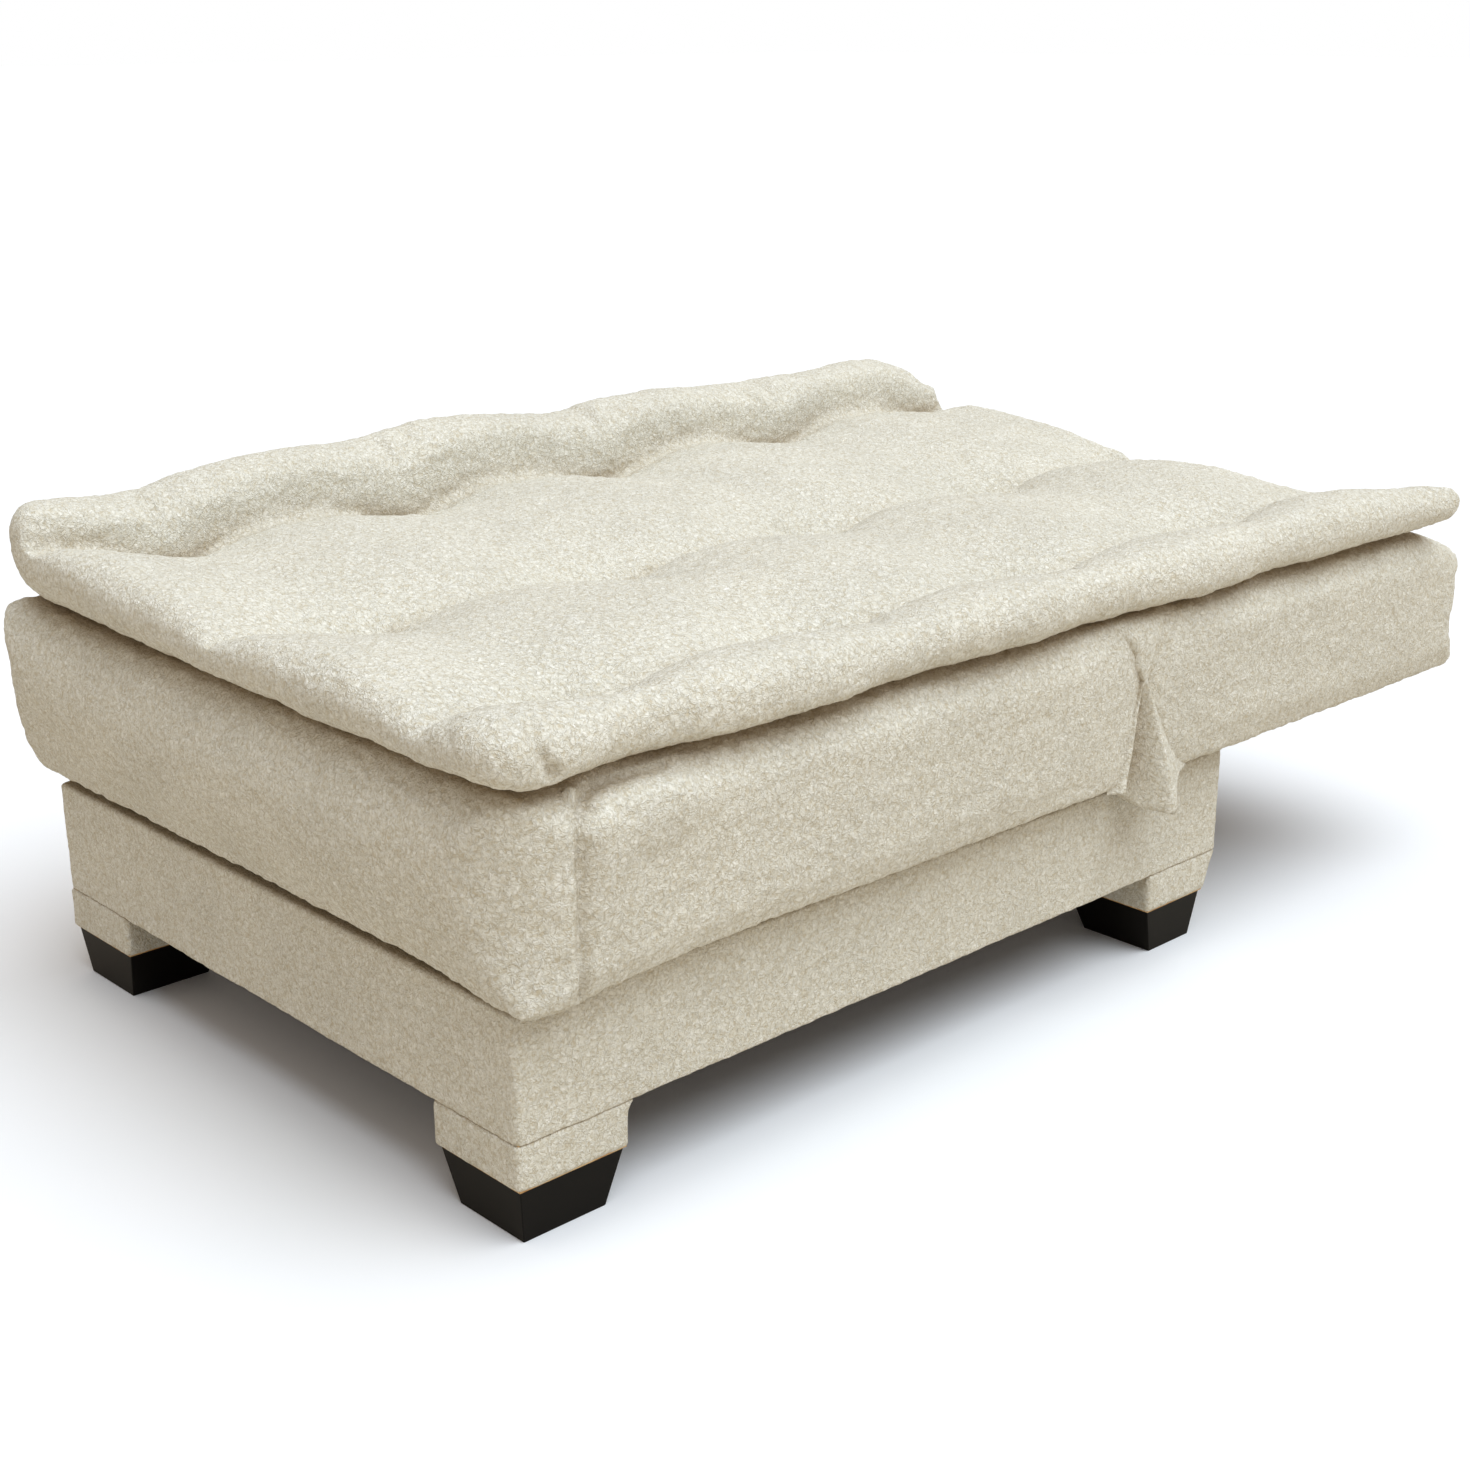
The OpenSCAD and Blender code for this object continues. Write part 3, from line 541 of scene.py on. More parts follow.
    def bent(self, tree: bpy.types.NodeTree, place_of: bpy.types.NodeSocket, scale: float,
             amount: float) -> bpy.types.NodeSocket:
        """Bends the texture's space, so that straight noise turns into curls.

        Args:
            tree: the material's tree.
            place_of: where the texture is read.
            scale: how many bends to a metre.
            amount: how far the space is pushed.

        Returns:
            The bent place.
        """
        bend = add_node(tree, "ShaderNodeTexNoise", inputs={"Vector": place_of, "Scale": scale, "Detail": 1.0})
        push = add_node(tree, "ShaderNodeVectorMath", {"operation": "SCALE"},
                        {0: bend.outputs["Color"], "Scale": amount})
        return add_node(tree, "ShaderNodeVectorMath", {"operation": "ADD"},
                        {0: place_of, 1: push.outputs[0]}).outputs[0]


def new_material(name: str) -> tuple:
    """Makes an empty node material.

    Args:
        name: the finish's name.

    Returns:
        The material, its tree, its surface shader and the places on the object, as a socket.
    """
    material = bpy.data.materials.new(name)
    material.use_nodes = True
    tree = material.node_tree
    return material, tree, tree.nodes["Principled BSDF"], add_node(tree, "ShaderNodeTexCoord").outputs["Object"]


def link_surface(tree: bpy.types.NodeTree, surface: bpy.types.Node, colour: bpy.types.NodeSocket,
                 normal: bpy.types.NodeSocket, levels: dict[str, float]) -> None:
    """Feeds a surface shader with a varying colour, a relief and its plain levels.

    Args:
        tree: the material's tree.
        surface: its surface shader.
        colour: the varying colour.
        normal: the relief.
        levels: other values of the shader, by socket name.
    """
    tree.links.new(colour, surface.inputs["Base Color"])
    tree.links.new(normal, surface.inputs["Normal"])
    for name, level in levels.items():
        surface.inputs[name].default_value = level


def two_tone(tree: bpy.types.NodeTree, surface: bpy.types.Node, share: bpy.types.NodeSocket, tones: tuple[str, str],
             relief: dict, levels: dict[str, float]) -> None:
    """Finishes a surface in two colours that a pattern mixes, with its relief.

    Args:
        tree: the material's tree.
        surface: its surface shader.
        share: from nought, all the first colour, to one, all the second.
        tones: the two hex colours.
        relief: the height, distance and strength of the relief, by socket name.
        levels: other values of the shader, by socket name.
    """
    colour = add_node(tree, "ShaderNodeMix", {"data_type": "RGBA"},
                      {"Factor": share, 6: linear(tones[0]), 7: linear(tones[1])}).outputs[2]
    link_surface(tree, surface, colour, add_node(tree, "ShaderNodeBump", inputs=relief).outputs[0], levels)


@dataclass(frozen=True)
class SawnPine:
    """Planed softwood: pale early wood with darker late-wood lines that run along the rail."""

    name: str = "planed_pine"
    along: Axis = Axis.Y
    early: str = "#e2c493"
    late: str = "#b88a55"
    ring: float = 6 * MM
    stretch: float = 14.0
    year: float = 0.08
    relief: float = 0.2 * MM
    roughness: float = 0.6

    def build(self) -> bpy.types.Material:
        """Makes the material.

        Returns:
            The material.
        """
        material, tree, surface, where = new_material(self.name)
        scale = [1.0, 1.0, 1.0]
        scale[self.along.value] = 1 / self.stretch
        drawn = add_node(tree, "ShaderNodeMapping", inputs={"Vector": where, "Scale": scale}).outputs[0]
        rings = add_node(tree, "ShaderNodeTexNoise", inputs={
            "Vector": drawn, "Scale": 1 / (4 * self.ring), "Detail": 4.0, "Distortion": 1.2})
        waves = add_node(tree, "ShaderNodeMath", {"operation": "PINGPONG"},
                         {0: rings.outputs[0], 1: self.year}).outputs[0]
        line = add_node(tree, "ShaderNodeMapRange", inputs={"Value": waves, "From Max": self.year}).outputs[0]
        two_tone(tree, surface, line, (self.early, self.late),
                 {"Height": line, "Distance": self.relief, "Strength": 0.5}, {"Roughness": self.roughness})
        return material


@dataclass(frozen=True)
class PlainFinish:
    """A finish of one main colour with a fine speckle, such as plated metal, moulded plastic, rubber, felt or foam."""

    name: str
    colour: str
    second: str
    grain: float
    relief: float
    roughness: float
    metallic: float = 0.0
    stretch: tuple[float, float, float] = (1.0, 1.0, 1.0)
    shine: float = 0.5

    def build(self) -> bpy.types.Material:
        """Makes the material.

        Returns:
            The material.
        """
        material, tree, surface, where = new_material(self.name)
        drawn = add_node(tree, "ShaderNodeMapping", inputs={"Vector": where, "Scale": self.stretch}).outputs[0]
        grain = add_node(tree, "ShaderNodeTexNoise", inputs={"Vector": drawn, "Scale": 1 / self.grain, "Detail": 3.0})
        level = add_node(tree, "ShaderNodeMapRange",
                         inputs={"Value": grain.outputs[0], "From Min": 0.35, "From Max": 0.65}).outputs[0]
        two_tone(tree, surface, level, (self.colour, self.second),
                 {"Height": grain.outputs[0], "Distance": self.relief, "Strength": 0.6},
                 {"Roughness": self.roughness, "Metallic": self.metallic, "Specular IOR Level": self.shine})
        return material


@dataclass(frozen=True)
class WovenBand:
    """Elastic webbing: black rubber and polyester yarns, woven flat, with two paler lines of yarn."""

    name: str = "elastic_webbing"
    dark: str = "#1f1e20"
    pale: str = "#54504a"
    # The yarn is about 0.5 mm in truth, and coarser here so that its weave shows
    yarn: float = 2.0 * MM
    relief: float = 0.4 * MM
    roughness: float = 0.8
    # The wave's own scale that gives one band to a metre
    one_band: float = 0.314

    def build(self) -> bpy.types.Material:
        """Makes the material.

        Returns:
            The material.
        """
        material, tree, surface, where = new_material(self.name)
        waves = [add_node(tree, "ShaderNodeTexWave", {"bands_direction": way},
                          {"Vector": where, "Scale": self.one_band / self.yarn}) for way in ("X", "Y")]
        woven = add_node(tree, "ShaderNodeMath", {"operation": "MULTIPLY"},
                         {0: waves[0].outputs["Fac"], 1: waves[1].outputs["Fac"]}).outputs[0]
        two_tone(tree, surface, woven, (self.dark, self.pale),
                 {"Height": woven, "Distance": self.relief, "Strength": 1.0}, {"Roughness": self.roughness})
        return material


# ---------------------------------------------------------------- geometry trees


def start_tree(name: str, inputs: list[tuple[str, str]]) -> tuple:
    """Starts a geometry tree with named inputs.

    Args:
        name: the tree's name.
        inputs: pairs of an input's name and its socket type, after the geometry.

    Returns:
        The tree, the outputs of its inputs by name, and the inputs' identifiers by name.
    """
    tree = bpy.data.node_groups.new(name, "GeometryNodeTree")
    tree.interface.new_socket("Geometry", in_out="INPUT", socket_type="NodeSocketGeometry")
    tree.interface.new_socket("Geometry", in_out="OUTPUT", socket_type="NodeSocketGeometry")
    keys = {label: tree.interface.new_socket(label, in_out="INPUT", socket_type=kind).identifier
            for label, kind in inputs}
    return tree, add_node(tree, "NodeGroupInput").outputs, keys


def end_tree(tree: bpy.types.NodeTree, geometry: bpy.types.NodeSocket, finish: bpy.types.NodeSocket) -> None:
    """Ends a tree in real geometry with its material set.

    Args:
        tree: the geometry tree.
        geometry: what it has made, with its instances.
        finish: the material.
    """
    real = add_node(tree, "GeometryNodeRealizeInstances", inputs={0: geometry}).outputs[0]
    dressed = add_node(tree, "GeometryNodeSetMaterial", inputs={"Geometry": real, "Material": finish}).outputs[0]
    add_node(tree, "NodeGroupOutput", inputs={0: dressed})


class PileTree:
    """Raises clumps and loops of yarn out of a cover, as real relief along its normals."""

    clump: float = 28 * MM
    clump_height: float = 5 * MM
    loop: float = 10 * MM
    loop_height: float = 4.4 * MM

    def __init__(self) -> None:
        """Builds the tree."""
        number = "NodeSocketFloat"
        self.tree, given, self.keys = start_tree("boucle_pile", [
            ("Clump Size", number), ("Clump Height", number), ("Loop Size", number), ("Loop Height", number),
            ("Seed", number), ("Finish", "NodeSocketMaterial")])
        place_of = add_node(self.tree, "GeometryNodeInputPosition").outputs[0]
        heights = []
        for size, height, detail in (("Clump Size", "Clump Height", 1.0), ("Loop Size", "Loop Height", 2.0)):
            rate = add_node(self.tree, "ShaderNodeMath", {"operation": "DIVIDE"}, {0: 1.0, 1: given[size]}).outputs[0]
            noise = add_node(self.tree, "ShaderNodeTexNoise", {"noise_dimensions": "4D"},
                             {"Vector": place_of, "W": given["Seed"], "Scale": rate, "Detail": detail}).outputs[0]
            centred = add_node(self.tree, "ShaderNodeMath", {"operation": "SUBTRACT"}, {0: noise, 1: 0.5}).outputs[0]
            heights.append(add_node(self.tree, "ShaderNodeMath", {"operation": "MULTIPLY"},
                                    {0: centred, 1: given[height]}).outputs[0])
        total = add_node(self.tree, "ShaderNodeMath", {"operation": "ADD"}, {0: heights[0], 1: heights[1]}).outputs[0]
        facing = add_node(self.tree, "GeometryNodeInputNormal").outputs[0]
        offset = add_node(self.tree, "ShaderNodeVectorMath", {"operation": "SCALE"}, {0: facing, "Scale": total})
        raised = add_node(self.tree, "GeometryNodeSetPosition",
                          inputs={"Geometry": given["Geometry"], "Offset": offset.outputs[0]})
        end_tree(self.tree, raised.outputs[0], given["Finish"])

    def grow(self, piece: bpy.types.Object, finish: bpy.types.Material, seed: float, share: float = 1.0) -> None:
        """Raises the pile on a piece.

        Args:
            piece: an evenly meshed cover.
            finish: its material.
            seed: picks another pattern.
            share: how high the pile stands, against the usual.
        """
        pile = piece.modifiers.new("Pile", "NODES")
        pile.node_group = self.tree
        for name, value in (("Clump Size", self.clump), ("Clump Height", self.clump_height * share),
                            ("Loop Size", self.loop), ("Loop Height", self.loop_height * share),
                            ("Seed", seed), ("Finish", finish)):
            pile[self.keys[name]] = value
        bake(piece)


class StitchTree:
    """Lays short bars, such as staples or stitches, at even steps along paths."""

    def __init__(self) -> None:
        """Builds the tree."""
        number = "NodeSocketFloat"
        self.tree, given, self.keys = start_tree("bars_along_paths", [
            ("Pitch", number), ("Length", number), ("Thickness", number), ("Finish", "NodeSocketMaterial")])
        curve = add_node(self.tree, "GeometryNodeMeshToCurve", inputs={0: given["Geometry"]}).outputs[0]
        steps = add_node(self.tree, "GeometryNodeResampleCurve", {"mode": "LENGTH"},
                         {"Curve": curve, "Length": given["Pitch"]})
        size = add_node(self.tree, "ShaderNodeCombineXYZ", inputs={
            "X": given["Length"], "Y": given["Thickness"], "Z": given["Thickness"]}).outputs[0]
        bar = add_node(self.tree, "GeometryNodeMeshUVSphere",
                       inputs={"Segments": 8, "Rings": 6, "Radius": 0.5}).outputs[0]
        ahead = add_node(self.tree, "GeometryNodeInputTangent").outputs[0]
        turn = add_node(self.tree, "FunctionNodeAlignRotationToVector", {"axis": "X"}, {"Vector": ahead}).outputs[0]
        bars = add_node(self.tree, "GeometryNodeInstanceOnPoints",
                        inputs={"Points": steps.outputs[0], "Instance": bar, "Rotation": turn, "Scale": size})
        end_tree(self.tree, bars.outputs[0], given["Finish"])

    def lay(self, name: str, paths: list, pitch: float, length: float, thickness: float,
            finish: bpy.types.Material) -> bpy.types.Object:
        """Lays bars along closed or open paths.

        Args:
            name: the piece's name.
            paths: lists of corners.
            pitch: distance between bars.
            length: length of a bar.
            thickness: thickness of a bar.
            finish: its material.

        Returns:
            The bars as one mesh.
        """
        mesh = bpy.data.meshes.new(name)
        corners = [corner for path in paths for corner in path]
        starts = np.cumsum([0] + [len(path) for path in paths])
        edges = [(start + i, start + i + 1) for start, path in zip(starts, paths) for i in range(len(path) - 1)]
        mesh.from_pydata(corners, edges, [])
        piece = bpy.data.objects.new(name, mesh)
        bpy.context.scene.collection.objects.link(piece)
        bars = piece.modifiers.new("Bars", "NODES")
        bars.node_group = self.tree
        for key, value in (("Pitch", pitch), ("Length", length), ("Thickness", thickness), ("Finish", finish)):
            bars[self.keys[key]] = value
        bake(piece)
        piece.data.shade_smooth()
        return piece


# ---------------------------------------------------------------- sub-assemblies


@dataclass
class Kit:
    """The finishes and trees that the sub-assemblies share."""

    boucle: bpy.types.Material
    pile: PileTree
    stitches: StitchTree
    staple_steel: bpy.types.Material
    moulded: bpy.types.Material


@dataclass
class Fold:
    """Where the back hinges on the seat, and the mitre that lets it rise."""

    y: float = 0.1135
    z: float = 0.45
    gap: float = 1 * MM
    mitre: float = math.radians(40)

    def mitre_y(self, z: float) -> float:
        """Returns how far a block's mitre stands from the fold at a height."""
        return self.gap + max(0.0, z - self.z) * math.tan(self.mitre)


@dataclass
class UpholsteredBlock:
    """A sprung and padded block in a sewn boucle cover, as three outlines crossed and then swelled."""

    name: str
    body: str
    nodes: tuple[str, ...]
    seed: int
    fold: Fold = field(default_factory=Fold)
    half: float = 0.514
    low: float = 0.278
    top: float = 0.5
    crest_r: float = 34 * MM
    hem_r: float = 10 * MM
    near_corner_r: float = 78 * MM
    far_corner_r: float = 45 * MM
    end_corner_r: float = 20 * MM
    voxel: float = 8 * MM
    pocket: tuple[float, float, float] = (0.424, 0.4628, 0.105)
    pocket_top: float = 0.49
    recess_in: float = 0.4548
    recess_top: float = 0.2816
    cut_below: float = 50 * MM
    seam_depth: float = 3.2 * MM
    seam_width: float = 9 * MM
    hem_ripple: float = 3 * MM
    slack: float = 1.6 * MM
    # Room for the pleat at one end of the fold: a height, with places across and along from the fold
    wedge: tuple = ((0.228, ((0.4735, -0.019), (0.56, -0.085), (0.56, 0.127))),
                    (0.42, ((0.5135, 0.0), (0.56, -0.0355), (0.56, 0.0785))))

    def side_outline(self) -> list:
        """Returns the outline seen from the side, as Y and Z."""
        raise NotImplementedError

    def ends(self) -> tuple[float, float]:
        """Returns the plan's two ends in Y."""
        raise NotImplementedError

    def corner_radii(self) -> tuple[float, float, float, float]:
        """Returns the plan's corner radii: rear near, rear far, front far and front near."""
        raise NotImplementedError

    def seams(self) -> list:
        """Returns the sewn paths on a side face, as Y and Z."""
        raise NotImplementedError

    def recess(self) -> tuple[float, float]:
        """Returns the two ends in Y of the opening in the underside."""
        raise NotImplementedError

    def plan_outline(self) -> list:
        """Draws the outline seen from above.

        Returns:
            Points as X and Y.
        """
        y0, y1 = self.ends()
        a, b, c, d = self.corner_radii()
        h = self.half
        return (arc((h - a, y1 - a), a, 0, 90, 8) + arc((-h + b, y1 - b), b, 90, 180, 8)
                + arc((-h + c, y0 + c), c, 180, 270, 10) + arc((h - d, y0 + d), d, 270, 360, 10))

    def cross_outline(self) -> list:
        """Draws the outline seen from the front.

        Returns:
            Points as X and Z.
        """
        h, c, m = self.half, self.crest_r, self.hem_r
        return (arc((h - c, self.top - c), c, 0, 90, 6) + arc((-h + c, self.top - c), c, 90, 180, 6)
                + arc((-h + m, self.low + m), m, 180, 270, 3) + arc((h - m, self.low + m), m, 270, 360, 3))

    def sewn(self, points: Points) -> Points:
        """Says how firmly each point is held while the cover swells.

        Args:
            points: places on the cover, one row each.

        Returns:
            From nought, free, to one, held.
        """
        under = ease((points[:, 2] - self.low) / (25 * MM))
        side = np.sign(points[:, 1].mean() - self.fold.y)
        mitre = self.fold.gap + np.maximum(0, points[:, 2] - self.fold.z) * math.tan(self.fold.mitre)
        joint = ease(((points[:, 1] - self.fold.y) * side - mitre) / (30 * MM))
        lid = ease((self.top - points[:, 2]) / (12 * MM)) * (np.abs(points[:, 0]) < self.half - self.crest_r)
        return np.clip(np.maximum.reduce([under, joint, lid]), 0, 1)

    def wrinkle(self, points: Points, facing: Points) -> Points:
        """Says how far the cover sinks, for seams and soft folds.

        Args:
            points: places on the cover, one row each.
            facing: its normals there.

        Returns:
            The depth along each normal.
        """
        on_side = np.abs(facing[:, 0]) > 0.6
        depth = sum(self.seam_depth * groove(points[:, 1:], path, self.seam_width) for path in self.seams()) * on_side
        hem = ease((points[:, 2] - self.low - 4 * MM) / (30 * MM)) * (1 - np.abs(facing[:, 2]))
        depth += self.hem_ripple * hem * soft_noise(points, 0.11, self.seed)
        depth += self.slack * soft_noise(points, 0.16, self.seed + 1)
        return depth

    def build(self, kit: Kit) -> bpy.types.Object:
        """Builds, swells and dresses the cover.

        Args:
            kit: the shared finishes and trees.

        Returns:
            The cover.
        """
        piece = prism(self.name, Axis.X, self.side_outline(), -self.half - 1 * MM, self.half + 1 * MM)
        y0, y1 = self.ends()
        carve(piece, [prism("plan", Axis.Z, self.plan_outline(), self.low - 1 * MM, self.top + 1 * MM),
                      prism("cross", Axis.Y, self.cross_outline(), y0 - 1 * MM, y1 + 1 * MM)], "INTERSECT")
        remesh(piece, self.voxel, 4)
        Swelling(cap=7 * MM).run(piece, self.sewn(vertices(piece)))
        subdivide(piece)
        points, facing = vertices(piece), normals(piece)
        place(piece, self.settle(points - facing * self.wrinkle(points, facing)[:, None]))
        kit.pile.grow(piece, kit.boucle, self.seed)
        self.open_up(piece)
        dress(piece, self.body, self.nodes)
        return piece

    def settle(self, points: Points) -> Points:
        """Returns the points after the cover has settled at its corners."""
        return points

    def open_up(self, piece: bpy.types.Object) -> None:
        """Cuts the opening in the underside and the pockets for the arms.

        Args:
            piece: the cover, still closed.
        """
        inner, outer, reach = self.pocket
        start, end = self.recess()
        below = self.low - self.cut_below
        cutters = [box("recess", (-self.recess_in, start, below), (self.recess_in, end, self.recess_top))]
        for side in (-1, 1):
            across = sorted((side * inner, side * outer))
            cutters.append(box("pocket", (across[0], self.fold.y - reach, below),
                               (across[1], self.fold.y + reach, self.pocket_top)))
            cutters.append(self.hollow(side))
        carve(piece, cutters)

    def hollow(self, side: int) -> bpy.types.Object:
        """Makes the wedge that leaves room for the pleat at one end of the fold.

        Args:
            side: one for +X, minus one for -X.

        Returns:
            The wedge, deepest at the hem.
        """
        rows = [(side * x, self.fold.y + y, z) for z, places in self.wedge for x, y in places]
        faces = [(0, 1, 2), (3, 5, 4), (0, 3, 4, 1), (1, 4, 5, 2), (2, 5, 3, 0)]
        return mesh_object("hollow", rows, faces if side < 0 else [face[::-1] for face in faces])


@dataclass
class SeatBlock(UpholsteredBlock):
    """The seat: its front bulges and tucks under, and its end is mitred at the fold."""

    name: str = "seat_upholstery"
    body: str = "seat"
    nodes: tuple[str, ...] = ("seat_cover", "seat_foam", "seat_edge_padding")
    seed: int = 11
    front: float = -0.8755
    top_r: float = 50 * MM
    tuck: float = 30 * MM
    seam_y: float = -0.781
    seam_z: float = 0.488
    seam_r: float = 44 * MM
    seam_end: float = -0.655
    # How much deeper the seam is at the front, and how wide
    front_seam: tuple[float, float] = (4.5 * MM, 12 * MM)
    # The stuffing inside the seam: how far it stands out, and how far from the seam that starts and ends
    pillow: tuple[float, float, float] = (14 * MM, 27 * MM, 160 * MM)
    # The small pull near the front: its Y, its Z, its reach and its depth
    dimple: tuple[float, float, float, float] = (-0.7625, 0.468, 9 * MM, 5 * MM)
    # Creases beside the fold: Y at the top, how far the foot leans, and depth
    creases: tuple = ((-0.035, -0.02, 1.4 * MM), (-0.06, 0.015, 1.0 * MM), (0.03, -0.05, 1.3 * MM))
    # The far corner is held low down: how far from the corner, and up to which height
    held_reach: float = 0.16
    held_below: float = 0.39
    # Where the hem sags over the base, and how far it sags in X, Y and Z
    sag_at: tuple[float, float] = (0.50, -0.84)
    sag_reach: float = 0.12
    sag: tuple[float, float, float] = (3 * MM, -3 * MM, -12 * MM)
    pulls: tuple = (((-0.50, -0.855, 0.485), 0.10, (-0.004, -0.008, 0.012)),
                    ((-0.515, -0.82, 0.37), 0.09, (-0.011, 0.0, 0.0)))

    def side_outline(self) -> list:
        """Draws the outline seen from the side.

        Returns:
            Points as Y and Z.
        """
        bulge = self.top - self.top_r
        low_r = ((bulge - self.low) ** 2 + self.tuck**2) / (2 * self.tuck)
        sweep = math.degrees(math.asin((bulge - self.low) / low_r))
        edge = self.fold.y - self.fold.gap
        return ([(edge, self.low), (edge, self.fold.z), (self.fold.y - self.fold.mitre_y(self.top), self.top)]
                + arc((self.front + self.top_r, bulge), self.top_r, 90, 180, 12)
                + arc((self.front + low_r, bulge), low_r, 180, 180 + sweep, 8)[1:])

    def ends(self) -> tuple[float, float]:
        """Returns the plan's two ends in Y."""
        return self.front, self.fold.y + self.near_corner_r

    def corner_radii(self) -> tuple[float, float, float, float]:
        """Returns the plan's corner radii: rear near, rear far, front far and front near."""
        return self.end_corner_r, self.end_corner_r, self.far_corner_r, self.near_corner_r

    def seams(self) -> list:
        """Draws the sewn path on a side face, round its front top corner.

        Returns:
            One path, as Y and Z.
        """
        y, z, r = self.seam_y, self.seam_z, self.seam_r
        foot = [(y + 5 * MM, self.low), (y, self.low + 0.05)]
        return [foot + arc((y + r, z - r), r, 180, 90, 8) + [(self.seam_end, z)]]

    def wrinkle(self, points: Points, facing: Points) -> Points:
        """Says how far the cover sinks, with its pillow, its pull and the creases beside the fold.

        Args:
            points: places on the cover, one row each.
            facing: its normals there.

        Returns:
            The depth along each normal.
        """
        depth = super().wrinkle(points, facing)
        on_side = np.abs(facing[:, 0]) > 0.5
        short = np.clip((self.seam_end - 0.01 - points[:, 1]) / 0.06, 0, 1)
        deeper, width = self.front_seam
        depth += deeper * groove(points[:, 1:], self.seams()[0], width) * on_side * short
        seam = self.seams()[0][:-1] + [(self.fold.y, self.seam_z)]
        inside = (points[:, 1] > self.seam_y) & (points[:, 2] < self.seam_z) & on_side
        swell, begins, stops = self.pillow
        pillow = (1 - groove(points[:, 1:], seam, begins)) * groove(points[:, 1:], seam, stops)
        fade = np.clip((-0.50 - points[:, 1]) / 0.16, 0, 1) ** 2 * ease((points[:, 2] - self.seam_z) / 0.2)
        depth -= swell * pillow * fade * inside
        y, z, reach, deep = self.dimple
        depth += deep * ease(np.hypot(points[:, 1] - y, points[:, 2] - z) / reach) * on_side * (points[:, 0] > 0)
        for y, lean, amount in self.creases:
            path = [(y, self.low + 0.17), (y + lean, self.low + 0.05)]
            depth += amount * groove(points[:, 1:], path, 12 * MM) * on_side
        return depth

    def sewn(self, points: Points) -> Points:
        """Says how firmly each point is held, with the low far corner drawn in.

        Args:
            points: places on the cover, one row each.

        Returns:
            From nought, free, to one, held.
        """
        drawn = ease(np.hypot(points[:, 0] + self.half, points[:, 1] - self.front) / self.held_reach)
        low = np.clip((self.held_below - points[:, 2]) / 0.03, 0, 1)
        return np.clip(np.maximum(super().sewn(points), 1.5 * drawn * low), 0, 1)

    def settle(self, points: Points) -> Points:
        """Sags the hem over the base at the near front corner, and pulls the far one.

        Args:
            points: places on the cover, one row each.

        Returns:
            The settled places.
        """
        moved = points.copy()
        outside = np.clip((np.maximum(points[:, 0] - 0.478, -0.8385 - points[:, 1])) / (10 * MM), 0, 1)
        low = ease((points[:, 2] - self.low) / (75 * MM))
        along = np.exp(-np.sum((points[:, :2] - self.sag_at) ** 2, axis=1) / self.sag_reach**2)
        for axis, amount in enumerate(self.sag):
            moved[:, axis] += amount * outside * low * along
        return tug(moved, points, self.pulls)

    def recess(self) -> tuple[float, float]:
        """Returns the two ends in Y of the opening in the underside."""
        low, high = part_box("seat_underside_cloth")
        return low.y, high.y


@dataclass
class BackBlock(UpholsteredBlock):
    """The back: mitred at the fold, with a heel that slopes to a square end."""

    name: str = "back_upholstery"
    body: str = "back"
    nodes: tuple[str, ...] = ("back_cover", "back_foam", "back_edge_padding")
    seed: int = 23
    end: float = 0.8885
    heel_r: float = 60 * MM
    heel_turn: float = 76.0
    heel_drop: float = 85 * MM
    toe_r: float = 16 * MM
    seam_in: float = 22 * MM
    # How the top corners of the end slump: their reach, and how far in, along and down
    slump_reach: float = 55 * MM
    slump: tuple[float, float, float] = (7 * MM, 10 * MM, 9 * MM)

    def side_outline(self) -> list:
        """Draws the outline seen from the side.

        Returns:
            Points as Y and Z.
        """
        heel = (self.end - self.heel_r, self.top - self.heel_drop)
        turn = math.radians(self.heel_turn)
        shoulder = (heel[0] + self.heel_r * math.cos(turn), heel[1] + self.heel_r * math.sin(turn))
        run = (self.top - shoulder[1]) * math.tan(turn)
        edge = self.fold.y + self.fold.gap
        return ([(edge, self.low), (edge, self.fold.z), (self.fold.y + self.fold.mitre_y(self.top), self.top),
                 (shoulder[0] - run, self.top)] + arc(heel, self.heel_r, self.heel_turn, 0, 8)
                + arc((self.end - self.toe_r, self.low + self.toe_r), self.toe_r, 0, -90, 4))

    def ends(self) -> tuple[float, float]:
        """Returns the plan's two ends in Y."""
        return self.fold.y - self.near_corner_r, self.end

    def corner_radii(self) -> tuple[float, float, float, float]:
        """Returns the plan's corner radii: rear near, rear far, front far and front near."""
        return (self.end_corner_r,) * 4

    def seams(self) -> list:
        """Returns the sewn paths on a side face, as Y and Z."""
        return [[(self.end - self.seam_in, self.low), (self.end - self.seam_in, self.low + 0.14)]]

    def settle(self, points: Points) -> Points:
        """Slumps the top corners of the end.

        Args:
            points: places on the cover, one row each.

        Returns:
            The settled places.
        """
        inwards, along, down = self.slump
        return tug(points.copy(), points, tuple(
            ((side * self.half, self.end, self.top), self.slump_reach, (-side * inwards, -along, -down))
            for side in (-1, 1)))

    def recess(self) -> tuple[float, float]:
        """Returns the two ends in Y of the opening in the underside."""
        low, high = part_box("back_underside_cloth")
        return low.y, high.y


